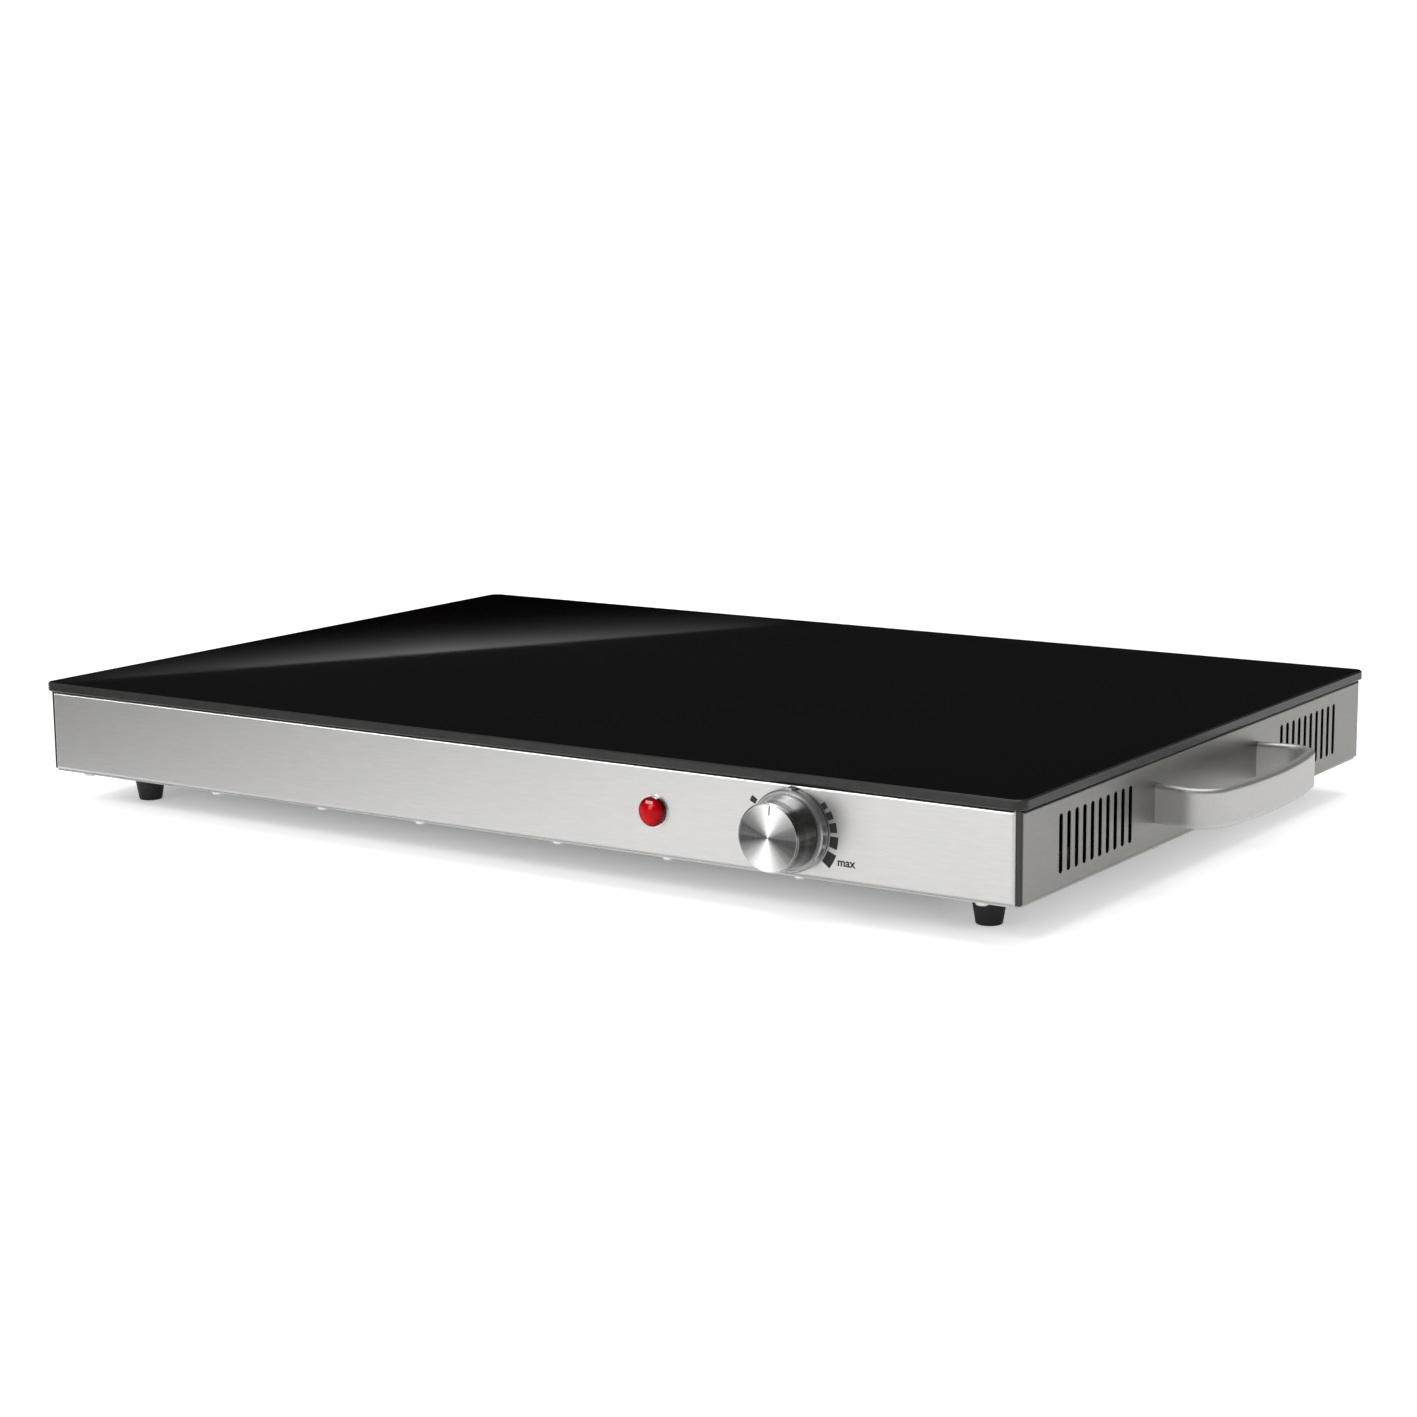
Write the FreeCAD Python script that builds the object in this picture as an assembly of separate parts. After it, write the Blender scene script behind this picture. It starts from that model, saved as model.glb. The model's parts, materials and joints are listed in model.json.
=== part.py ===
import FreeCAD, Part
import math
import os

from FreeCAD import Vector

# Glass-top hot plate (warming tray). Millimetres, +Z up, -Y is the front with the control knob.
# Origin: floor level under the centre of the whole object, handles and knob included.

# ---------------------------------------------------------------- driving dimensions
# Glass top
glass_length = 600.0
glass_depth = 400.0
glass_thick = 5.0
glass_corner = 6.0
glass_arris = 0.7
glass_overhang = 1.8

# Seal between glass and casing
seal_thick = 0.5
seal_width = 9.0
seal_inset = 2.0

# Sheet-metal casing
sheet = 0.8
bend = 1.6
wall_height = 42.6
flange_depth = 14.0
corner_groove = 1.5
panel_step = 1.6
notch_clearance = 0.2

# Corner brackets
bracket_thick = 1.2
bracket_reach = 30.0
bracket_leg = 20.0
bracket_end_gap = 1.0

# Bottom cover
cover_inset = 1.2
cover_corner = 3.0
cover_slot_length = 60.0
cover_slot_width = 4.0
cover_slot_pitch = 12.0
cover_slot_count = 9
cover_slot_x = 85.0

# Cover screws: distance from the middle of each edge, in from the end panel, and from the panel face
inner_screw_x = (43.0, 108.0, 181.5)
corner_screw_inset = 22.2
end_screw_y = 51.0
screw_edge_distance = 6.6
screw_head_r = 3.4
screw_head_h = 2.2
screw_shank_r = 1.3
screw_length = 5.0
screw_hole_gap = 0.05
screw_recess = 1.0
screw_recess_width = 0.9

# Feet
foot_height = 19.2
foot_top_r = 9.4
foot_bottom_r = 6.2
foot_edge = 0.8
foot_side_inset = 35.7
foot_front_inset = 38.2
foot_bore_r = 3.9
foot_bore_depth = 11.0
foot_screw_r = 2.0
foot_screw_gap = 0.1
washer_thick = 1.0
nut_width = 7.0
nut_height = 3.2
nut_stud = 1.0

# End vents
vent_count = 10
vent_pitch = 7.87
vent_first = 89.2
vent_width = 3.6
vent_wall_margin = 15.1

# Handles
handle_band = 5.0
handle_height = 19.5
handle_reach = 38.0
handle_root_half = 60.0
handle_flare_deg = 9.0
handle_corner_r = 14.0
handle_grip_r = 278.0
handle_round = 2.3
handle_screw_gap = 10.0
handle_screw_r = 1.25
handle_screw_length = 10.0
handle_screw_offset = 0.8
handle_screw_head_r = 2.8
handle_screw_head_h = 2.0

# Control knob and its spindle
knob_end_inset = 117.2
knob_gap = 0.6
skirt_wall_margin = 1.8
skirt_depth = 5.0
skirt_groove = 0.9
skirt_chamfer = 0.7
knob_ledge = 2.3
knob_taper = 1.0
knob_standout = 20.8
knob_wall = 1.0
knob_chamfer = 0.7
knob_rest_deg = 4.0
pointer_width = 0.7
pointer_length = 4.6
pointer_depth = 0.3
pointer_rim_gap = 0.3
nib_width = 2.6
nib_height = 1.1
hub_r = 7.0
web_thick = 2.0
cap_fit = 0.05
cap_end_gap = 0.3
spindle_r = 3.0
spindle_fit = 0.05
spindle_flat = 1.5
spindle_flat_length = 9.5
spindle_standout = 16.5
clip_thick = 0.4
clip_width = 3.6
clip_length = 8.0
clip_gap = 0.05

# Thermostat behind the knob
bushing_r = 4.95
bushing_hole_gap = 0.15
bushing_standout = 4.5
bushing_flange_r = 8.0
bushing_flange = 2.0
bushing_nut_width = 14.0
bushing_nut_height = 2.6
recess_gap = 0.9
thermostat_width = 30.0
thermostat_depth = 22.0
thermostat_height = 22.0
thermostat_wall = 2.0
collar_r = 4.0
collar_thick = 1.5
collar_gap = 0.3
guide_length = 4.0
chamber_depth = 5.2
pin_r = 1.5
pin_gap = 0.4
pin_standout = 1.5
blade_thick = 0.5
blade_width = 6.0
blade_length = 21.0
blade_gap = 0.8
tab_length = 10.0
tab_width = 6.3
tab_thick = 0.8

# Pilot lamp
lamp_knob_distance = 77.0
lamp_lens_r = 7.1
lamp_lens_rim = 1.4
lamp_lens_dome = 2.6
lamp_flange_r = 8.0
lamp_flange = 0.8
lamp_tube_r = 6.0
lamp_tube_wall = 1.0
lamp_tube_length = 16.0
lamp_hole_gap = 0.1
lamp_clip_r = 8.6
lamp_clip_thick = 1.2
lamp_stem_length = 4.0
bulb_r = 2.5
bulb_length = 9.0
lamp_lead_x = 3.0

# Heater stack under the glass
spreader_margin = 40.0
spreader_thick = 1.5
element_r = 1.5
element_gap = 0.1
element_passes = 8
element_side_margin = 34.0
element_turn_margin = 45.0
element_tail_margin = 18.0
element_tail_bend = 8.0
element_tail_rise = 14.0
strap_width = 10.0
strap_thick = 0.8
strap_foot = 6.0
strap_end_reach = 18.0
strap_x = (-150.0, 0.0, 150.0)
soft_gap = 0.3
blanket_thick = 12.0
blanket_margin = 10.0
pan_sheet = 0.6
pan_rim_gap = 0.3
tail_hole_r = 3.5
spacer_r = 4.0
spacer_end_margin = 50.0
spacer_side_margin = 40.0
spacer_spigot_r = 2.5
spacer_bore_depth = 8.0

# Appliance inlet in the rear wall
inlet_end_inset = 98.2
inlet_flange_length = 50.0
inlet_flange_height = 25.0
inlet_flange = 1.4
inlet_flange_corner = 4.0
inlet_body_length = 27.0
inlet_body_height = 19.6
inlet_body_depth = 20.0
inlet_cavity_length = 24.4
inlet_cavity_height = 16.9
inlet_cavity_depth = 15.5
inlet_chamfer = 4.5
inlet_cut_gap = 0.2
inlet_screw_span = 40.0
inlet_screw_r = 1.6
inlet_screw_head_r = 2.9
inlet_screw_length = 7.0
inlet_nut_width = 5.5
inlet_nut_height = 2.0
pin_pitch = 7.0
pin_step = 2.0
pin_width = 2.0
pin_height = 4.0
pin_short = 1.5
inlet_tab_length = 8.0

# Wiring
wire_r = 1.2
lead_r = 0.9
wire_bend = 5.0
splice_bend = 4.0
wire_floor_gap = 0.3
live_run_inset = 27.2
live_cross_gap = 14.5
neutral_rise = 6.0
riser_knob_distance = 43.0
lead_cross_gap = 10.5
lead_drop_y = 28.7
splice_r = 3.0
splice_length = 10.0
splice_fit = 0.1
fuse_knob_distance = 15.0
fuse_length = 16.0
fuse_r = 2.4
fuse_clip_width = 8.0
fuse_clip_thick = 0.7
wire_clip_y = (-100.0, 0.0, 100.0)
wire_clip_width = 8.0
wire_clip_wall = 1.2
wire_clip_fit = 0.1
earth_inlet_distance = 22.0
earth_screw_r = 2.0
lug_thick = 0.8
lug_r = 4.5
lug_barrel = 6.0

# ---------------------------------------------------------------- derived places
knob_reach = knob_standout - glass_overhang
centre_y = knob_reach / 2.0
half_length = glass_length / 2.0 - glass_overhang
half_depth = glass_depth / 2.0 - glass_overhang
edge_screw_x = inner_screw_x + (half_length - corner_screw_inset,)
foot_x = half_length - foot_side_inset
foot_y = half_depth - foot_front_inset
knob_x = half_length - knob_end_inset
lamp_x = knob_x - lamp_knob_distance
skirt_r = wall_height / 2.0 - skirt_wall_margin
knob_base_r = skirt_r - knob_ledge
knob_face_r = knob_base_r - knob_taper
vent_length = wall_height - vent_wall_margin
inlet_x = half_length - inlet_end_inset
earth_x = inlet_x + earth_inlet_distance
live_run_x = half_length - live_run_inset
riser_x = knob_x + riser_knob_distance
fuse_x = knob_x + fuse_knob_distance
front_y = centre_y - half_depth
rear_y = centre_y + half_depth
wall_low = foot_height + sheet
wall_high = wall_low + wall_height
wall_mid = (wall_low + wall_high) / 2.0
glass_low = wall_high + seal_thick
glass_high = glass_low + glass_thick
panel_half_length = half_length - corner_groove - bend
end_half_depth = half_depth - panel_step
spreader_length = glass_length - 2.0 * spreader_margin
spreader_depth = glass_depth - 2.0 * spreader_margin
blanket_length = spreader_length - 2.0 * blanket_margin
blanket_depth = spreader_depth - 2.0 * blanket_margin
spacer_x = (spacer_end_margin - blanket_length / 2.0, 0.0, blanket_length / 2.0 - spacer_end_margin)
spacer_y = blanket_depth / 2.0 - spacer_side_margin
element_pitch = (spreader_depth - 2.0 * element_side_margin) / (element_passes - 1)
element_half_length = spreader_length / 2.0 - element_turn_margin
element_tail_x = spreader_length / 2.0 - element_tail_margin
element_tail_z = wall_low + element_tail_rise
neutral_low_z = wall_low + neutral_rise
spreader_low = glass_low - spreader_thick
element_z = spreader_low - element_gap - element_r
strap_high = element_z - element_r - element_gap
strap_low = strap_high - strap_thick
blanket_high = strap_low - soft_gap
blanket_low = blanket_high - blanket_thick
pan_high_floor = blanket_low - soft_gap
pan_low = pan_high_floor - pan_sheet
pan_rim_high = spreader_low - pan_rim_gap
pan_half_length = blanket_length / 2.0 + soft_gap
pan_half_depth = blanket_depth / 2.0 + soft_gap
element_first_y = centre_y - element_pitch * (element_passes - 1) / 2.0
element_last_y = centre_y + element_pitch * (element_passes - 1) / 2.0
thermostat_front = front_y + sheet + bushing_flange
thermostat_rear = thermostat_front + thermostat_depth
tab_y = thermostat_rear - tab_width / 2.0 - thermostat_wall
wire_floor_z = wall_low + wire_floor_gap + wire_r
lead_floor_z = wall_low + wire_floor_gap + lead_r
inlet_tab_y = rear_y - inlet_body_depth - inlet_tab_length


# ---------------------------------------------------------------- shape helpers
def block(x0, x1, y0, y1, z0, z1):
    """Box between two corners."""
    return Part.makeBox(x1 - x0, y1 - y0, z1 - z0, Vector(x0, y0, z0))


def rod(radius, start, direction, length):
    """Solid cylinder from a start point along a direction."""
    return Part.makeCylinder(radius, length, start, direction)


def revolve_profile(points, origin, axis, radial):
    """Turn a closed (radius, height) outline about an axis."""
    corners = [origin + radial * r + axis * h for r, h in points]
    face = Part.Face(Part.makePolygon(corners + [corners[0]]))
    return face.revolve(origin, axis, 360)


def hexagon(width, origin, axis, side, height):
    """Hexagonal prism, width across flats."""
    radius = width / 2.0 / math.cos(math.pi / 6)
    other = axis.cross(side)
    corners = []
    for step in range(6):
        angle = math.radians(60 * step)
        corners.append(origin + side * (radius * math.cos(angle)) + other * (radius * math.sin(angle)))
    face = Part.Face(Part.makePolygon(corners + [corners[0]]))
    return face.extrude(axis * height)


def edges_where(shape, test):
    """Edges of a shape whose middle point passes a test."""
    return [e for e in shape.Edges if test(e.BoundBox.Center, e)]


def slot_cut(centre, along, across, through, length, width, depth):
    """Round-ended slot cutter, centred, cutting along `through`."""
    half = (length - width) / 2.0
    radius = width / 2.0
    start = centre - through * (depth / 2.0)
    a = start + along * half + across * radius
    b = start - along * half + across * radius
    c = start - along * half - across * radius
    d = start + along * half - across * radius
    edges = [
        Part.LineSegment(a, b).toShape(),
        Part.Arc(b, start - along * (half + radius), c).toShape(),
        Part.LineSegment(c, d).toShape(),
        Part.Arc(d, start + along * (half + radius), a).toShape(),
    ]
    return Part.Face(Part.Wire(edges)).extrude(through * depth)


def rounded_path(points, radius):
    """Wire of straight runs joined by tangent arcs."""
    edges = []
    last = points[0]
    for before, corner, after in zip(points, points[1:], points[2:]):
        arriving = (corner - before).normalize()
        leaving = (after - corner).normalize()
        turn = arriving.getAngle(leaving)
        setback = radius * math.tan(turn / 2.0)
        start = corner - arriving * setback
        end = corner + leaving * setback
        inward = (leaving - arriving).normalize()
        middle = corner + inward * (radius / math.cos(turn / 2.0) - radius)
        edges.append(Part.LineSegment(last, start).toShape())
        edges.append(Part.Arc(start, middle, end).toShape())
        last = end
    edges.append(Part.LineSegment(last, points[-1]).toShape())
    return Part.Wire(edges)


def tube_along(points, radius, bend_radius):
    """Round wire or rod that follows straight runs and arcs."""
    path = rounded_path(points, bend_radius)
    direction = (points[1] - points[0]).normalize()
    section = Part.Wire([Part.makeCircle(radius, points[0], direction)])
    return path.makePipeShell([section], True, False)


def pan_head_screw(seat, out, head_r, head_h, shank_r, length):
    """Pan-head screw: seat is under the head, out points from the seat to the head's top."""
    side = Vector(1, 0, 0) if abs(out.x) < 0.5 else Vector(0, 1, 0)
    other = out.cross(side)
    head = rod(head_r, seat, out, head_h)
    rim = [e for e in head.Edges if e.Closed and (e.BoundBox.Center - seat).dot(out) > head_h / 2.0]
    head = head.makeFillet(head_h * 0.6, rim)
    top = seat + out * (head_h - screw_recess)
    for along, across in ((side, other), (other, side)):
        corner = top - along * (head_r * 0.55) - across * (screw_recess_width / 2.0)
        size = along * (head_r * 1.1)
        face = Part.Face(Part.makePolygon([
            corner,
            corner + size,
            corner + size + across * screw_recess_width,
            corner + across * screw_recess_width,
            corner,
        ]))
        head = head.cut(face.extrude(out * (screw_recess * 2.0)))
    shank = rod(shank_r, seat - out * length, out, length)
    return head.fuse(shank).removeSplitter()


def drilled(shape, cutters):
    """Cut a list of tools from a shape."""
    return shape.cut(Part.makeCompound(cutters))


def mirrored_y(points):
    """The same places on the front and rear halves of the casing."""
    return [(x, centre_y - y) for x, y in points] + [(x, centre_y + y) for x, y in points]


# ---------------------------------------------------------------- places used by several pieces
def cover_screw_places():
    """Screws of the bottom cover: (x, y, length)."""
    edge_y = half_depth - screw_edge_distance
    places = []
    for x in edge_screw_x:
        extra = bracket_thick if x == max(edge_screw_x) else 0.0
        for side_x in (-x, x):
            places.append((side_x, centre_y - edge_y, screw_length + extra))
            places.append((side_x, centre_y + edge_y, screw_length + extra))
    edge_x = half_length - screw_edge_distance
    for side_x in (-edge_x, edge_x):
        for side_y in (-end_screw_y, end_screw_y):
            places.append((side_x, centre_y + side_y, screw_length))
    return places


def foot_places():
    """Name and centre of each foot."""
    return {
        "front_left": (-foot_x, centre_y - foot_y),
        "front_right": (foot_x, centre_y - foot_y),
        "rear_left": (-foot_x, centre_y + foot_y),
        "rear_right": (foot_x, centre_y + foot_y),
    }


def spacer_places():
    """Posts that carry the reflector pan."""
    return mirrored_y([(x, spacer_y) for x in spacer_x])


def handle_screw_places():
    """(y, z) of the screws in one handle."""
    offset = handle_root_half + handle_screw_offset
    places = []
    for side in (-1, 1):
        for level in (-1, 1):
            places.append((centre_y + side * offset, wall_mid + level * handle_screw_gap / 2.0))
    return places


# ---------------------------------------------------------------- glass and seal
def make_glass():
    glass = block(-glass_length / 2.0, glass_length / 2.0, centre_y - glass_depth / 2.0,
                  centre_y + glass_depth / 2.0, glass_low, glass_high)
    upright = edges_where(glass, lambda c, e: e.BoundBox.ZLength > glass_thick / 2.0)
    glass = glass.makeFillet(glass_corner, upright)
    rims = edges_where(glass, lambda c, e: e.BoundBox.ZLength < 0.01)
    return glass.makeChamfer(glass_arris, rims)


def make_seal():
    outer_x = half_length - seal_inset
    outer_y = half_depth - seal_inset
    outer = block(-outer_x, outer_x, centre_y - outer_y, centre_y + outer_y, wall_high, glass_low)
    inner_x = outer_x - seal_width
    inner_y = outer_y - seal_width
    inner = block(-inner_x, inner_x, centre_y - inner_y, centre_y + inner_y, wall_high - 1, glass_low + 1)
    return outer.cut(inner)


# ---------------------------------------------------------------- casing
def panel_tray(length, depth):
    """Folded sheet panel facing -Y at y = 0, with flanges and end returns of the same depth."""
    outer = block(-length / 2.0, length / 2.0, 0, depth, 0, wall_height)
    outer = outer.makeFillet(bend, edges_where(outer, lambda c, e: e.BoundBox.YMax < 0.01))
    inner = block(-length / 2.0 + sheet, length / 2.0 - sheet, sheet, depth + 1, sheet, wall_height - sheet)
    inner_edges = edges_where(inner, lambda c, e: e.BoundBox.YMax < sheet + 0.01)
    inner = inner.makeFillet(bend - sheet, inner_edges)
    return outer.cut(inner)


def long_panel():
    """Front or rear panel before its holes: the end returns are only the bend itself."""
    panel = panel_tray(panel_half_length * 2.0, flange_depth)
    cutters = []
    for side in (-1, 1):
        x = side * panel_half_length
        cutters.append(block(min(x, x - side * sheet), max(x, x - side * sheet),
                             panel_step, flange_depth, sheet, wall_height - sheet))
    return drilled(panel, cutters)


def flange_holes(z, radius, places):
    """Clearance for the cover screws in the bottom flanges."""
    return [rod(radius, Vector(x, y, z - 1), Vector(0, 0, 1), sheet + 2) for x, y, _ in places]


def make_front_panel():
    panel = long_panel()
    panel.translate(Vector(0, front_y, wall_low))
    out = Vector(0, -1, 0)
    start = front_y + sheet + 1
    cutters = [
        rod(bushing_r + bushing_hole_gap, Vector(knob_x, start, wall_mid), out, sheet + 2),
        rod(lamp_tube_r + lamp_hole_gap, Vector(lamp_x, start, wall_mid), out, sheet + 2),
    ]
    cutters += flange_holes(wall_low, screw_shank_r + screw_hole_gap, cover_screw_places())
    return drilled(panel, cutters)


def inlet_outline(length, height, y, grow):
    """Six-sided outline of the inlet, cut off at its two upper corners, as a face at y."""
    half = length / 2.0 + grow
    low = wall_mid - height / 2.0 - grow
    high = wall_mid + height / 2.0 + grow
    corners = [
        Vector(inlet_x - half, y, low),
        Vector(inlet_x + half, y, low),
        Vector(inlet_x + half, y, high - inlet_chamfer),
        Vector(inlet_x + half - inlet_chamfer, y, high),
        Vector(inlet_x - half + inlet_chamfer, y, high),
        Vector(inlet_x - half, y, high - inlet_chamfer),
    ]
    return Part.Face(Part.makePolygon(corners + [corners[0]]))


def make_rear_panel():
    panel = long_panel()
    panel.rotate(Vector(0, 0, 0), Vector(0, 0, 1), 180)
    panel.translate(Vector(0, rear_y, wall_low))
    opening = inlet_outline(inlet_body_length, inlet_body_height, rear_y - sheet - 1, inlet_cut_gap)
    cutters = [opening.extrude(Vector(0, sheet + 2, 0))]
    for side in (-1, 1):
        centre = Vector(inlet_x + side * inlet_screw_span / 2.0, rear_y - sheet - 1, wall_mid)
        cutters.append(rod(inlet_screw_r + screw_hole_gap, centre, Vector(0, 1, 0), sheet + 2))
    cutters += flange_holes(wall_low, screw_shank_r + screw_hole_gap, cover_screw_places())
    return drilled(panel, cutters)


def make_end_panel(side):
    """End panel with vents and handle holes; side is -1 for left, 1 for right."""
    panel = panel_tray(end_half_depth * 2.0, flange_depth)
    panel.rotate(Vector(0, 0, 0), Vector(0, 0, 1), 90 * side)
    panel.translate(Vector(side * half_length, centre_y, wall_low))
    cutters = []
    notch_x = panel_half_length + notch_clearance
    notch_y = half_depth - flange_depth - notch_clearance
    x0 = min(0, side * notch_x)
    x1 = max(0, side * notch_x)
    for low in (wall_low, wall_high - sheet):
        cutters.append(block(x0, x1, centre_y - half_depth, centre_y - notch_y, low, low + sheet))
        cutters.append(block(x0, x1, centre_y + notch_y, centre_y + half_depth, low, low + sheet))
    through = Vector(1, 0, 0)
    middle_x = side * (half_length - sheet / 2.0)
    for step in range(vent_count):
        offset = vent_first + step * vent_pitch
        for way in (-1, 1):
            centre = Vector(middle_x, centre_y + way * offset, wall_mid)
            cutters.append(slot_cut(centre, Vector(0, 0, 1), Vector(0, 1, 0), through,
                                    vent_length, vent_width, sheet + 2))
    for y, z in handle_screw_places():
        start = Vector(middle_x - sheet, y, z)
        cutters.append(rod(handle_screw_r + foot_screw_gap, start, through, sheet * 2))
    cutters += flange_holes(wall_low, screw_shank_r + screw_hole_gap, cover_screw_places())
    return drilled(panel, cutters)


def make_corner_brackets():
    """Inner L brackets that join each long panel to an end panel."""
    brackets = []
    x_wall = half_length - sheet
    y_return = end_half_depth - sheet
    low = wall_low + sheet
    high = wall_high - sheet - bracket_end_gap
    screw_y = half_depth - screw_edge_distance
    for side_x in (-1, 1):
        for side_y in (-1, 1):
            leg_end = block(x_wall - bracket_thick, x_wall, y_return - bracket_leg, y_return,
                            low + bracket_end_gap, high)
            leg_front = block(x_wall - bracket_reach, x_wall, y_return - bracket_thick, y_return,
                              low + bracket_end_gap, high)
            legs = leg_end.fuse(leg_front).removeSplitter()
            legs = legs.makeFillet(bend - sheet, edges_where(
                legs, lambda c, e: c.x > x_wall - 0.01 and c.y > y_return - 0.01))
            foot_end_x = half_length - flange_depth - notch_clearance
            foot_low_y = half_depth - flange_depth
            foot = block(x_wall - bracket_reach, foot_end_x, foot_low_y, y_return, low, low + bracket_thick)
            bracket = legs.fuse(foot).removeSplitter()
            hole_start = Vector(max(edge_screw_x), screw_y, low - 1)
            bracket = bracket.cut(rod(screw_shank_r + screw_hole_gap, hole_start, Vector(0, 0, 1), 4))
            if side_x < 0:
                bracket = bracket.mirror(Vector(0, 0, 0), Vector(1, 0, 0))
            if side_y < 0:
                bracket = bracket.mirror(Vector(0, 0, 0), Vector(0, 1, 0))
            bracket.translate(Vector(0, centre_y, 0))
            brackets.append(bracket)
    return Part.makeCompound(brackets)


def make_bottom_cover():
    half_x = half_length - cover_inset
    half_y = half_depth - cover_inset
    cover = block(-half_x, half_x, centre_y - half_y, centre_y + half_y, foot_height, wall_low)
    cover = cover.makeFillet(cover_corner, edges_where(cover, lambda c, e: e.BoundBox.ZLength > sheet / 2.0))
    up = Vector(0, 0, 1)
    cutters = flange_holes(foot_height, screw_shank_r + screw_hole_gap, cover_screw_places())
    for x, y in foot_places().values():
        cutters.append(rod(foot_screw_r + foot_screw_gap, Vector(x, y, foot_height - 1), up, sheet + 2))
    for x, y in spacer_places():
        cutters.append(rod(foot_screw_r + foot_screw_gap, Vector(x, y, foot_height - 1), up, sheet + 2))
    earth_hole = Vector(earth_x, earth_y(), foot_height - 1)
    cutters.append(rod(earth_screw_r + foot_screw_gap, earth_hole, up, sheet + 2))
    for side in (-1, 1):
        for step in range(cover_slot_count):
            y = centre_y + (step - (cover_slot_count - 1) / 2.0) * cover_slot_pitch
            centre = Vector(side * cover_slot_x, y, foot_height + sheet / 2.0)
            cutters.append(slot_cut(centre, Vector(1, 0, 0), Vector(0, 1, 0), up,
                                    cover_slot_length, cover_slot_width, sheet + 2))
    return drilled(cover, cutters)


def make_cover_screws():
    down = Vector(0, 0, -1)
    screws = []
    for x, y, length in cover_screw_places():
        seat = Vector(x, y, foot_height)
        screws.append(pan_head_screw(seat, down, screw_head_r, screw_head_h, screw_shank_r, length))
    return Part.makeCompound(screws)


# ---------------------------------------------------------------- feet
def make_foot(x, y):
    outline = [
        (0, 0),
        (foot_bottom_r, 0),
        (foot_top_r, foot_height),
        (0, foot_height),
    ]
    foot = revolve_profile(outline, Vector(x, y, 0), Vector(0, 0, 1), Vector(1, 0, 0))
    foot = foot.makeFillet(foot_edge, edges_where(foot, lambda c, e: e.Closed and e.BoundBox.ZMax < 0.01))
    up = Vector(0, 0, 1)
    return drilled(foot, [
        rod(foot_bore_r, Vector(x, y, -1), up, foot_bore_depth + 1),
        rod(foot_screw_r + foot_screw_gap, Vector(x, y, 0), up, foot_height + 1),
    ])


def make_foot_washers():
    washers = []
    for x, y in foot_places().values():
        low = Vector(x, y, foot_bore_depth - washer_thick)
        washer = rod(foot_bore_r - foot_screw_gap, low, Vector(0, 0, 1), washer_thick)
        hole = rod(foot_screw_r + foot_screw_gap, low, Vector(0, 0, 1), washer_thick)
        washers.append(washer.cut(hole))
    return Part.makeCompound(washers)


def make_foot_screws():
    screws = []
    length = foot_height - foot_bore_depth + washer_thick + sheet + nut_height + nut_stud
    for x, y in foot_places().values():
        seat = Vector(x, y, foot_bore_depth - washer_thick)
        screws.append(pan_head_screw(seat, Vector(0, 0, -1), screw_head_r, screw_head_h, foot_screw_r, length))
    return Part.makeCompound(screws)


def make_foot_nuts():
    nuts = []
    for x, y in foot_places().values():
        seat = Vector(x, y, wall_low)
        nut = hexagon(nut_width, seat, Vector(0, 0, 1), Vector(1, 0, 0), nut_height)
        nuts.append(nut.cut(rod(foot_screw_r + screw_hole_gap, seat, Vector(0, 0, 1), nut_height)))
    return Part.makeCompound(nuts)


# ---------------------------------------------------------------- handles
def handle_path():
    """Centre line of the handle band: x is out from the wall, y along it."""
    flare = math.radians(handle_flare_deg)
    along = Vector(math.cos(flare), math.sin(flare), 0)
    inward = Vector(math.sin(flare), -math.cos(flare), 0)
    root = Vector(0, handle_root_half, 0)
    apex = handle_reach - handle_band / 2.0
    grip_centre = Vector(apex - handle_grip_r, 0, 0)
    # The corner circle touches the leg's line and lies inside the grip's large circle.
    base = root + inward * handle_corner_r - grip_centre
    target = handle_grip_r - handle_corner_r
    half_b = base.dot(along)
    c = base.dot(base) - target * target
    run = -half_b + math.sqrt(half_b * half_b - c)
    leg_end = root + along * run
    corner_centre = leg_end + inward * handle_corner_r
    to_grip = (corner_centre - grip_centre).normalize()
    grip_end = grip_centre + to_grip * handle_grip_r
    outward = ((leg_end - corner_centre) + (grip_end - corner_centre)).normalize()
    corner_mid = corner_centre + outward * handle_corner_r
    start = root - along * handle_band
    flip = [Vector(p.x, -p.y, 0) for p in (start, leg_end, corner_mid, grip_end)]
    edges = [
        Part.LineSegment(start, leg_end).toShape(),
        Part.Arc(leg_end, corner_mid, grip_end).toShape(),
        Part.Arc(grip_end, Vector(apex, 0, 0), flip[3]).toShape(),
        Part.Arc(flip[3], flip[2], flip[1]).toShape(),
        Part.LineSegment(flip[1], flip[0]).toShape(),
    ]
    return Part.Wire(edges), start, inward


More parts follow.
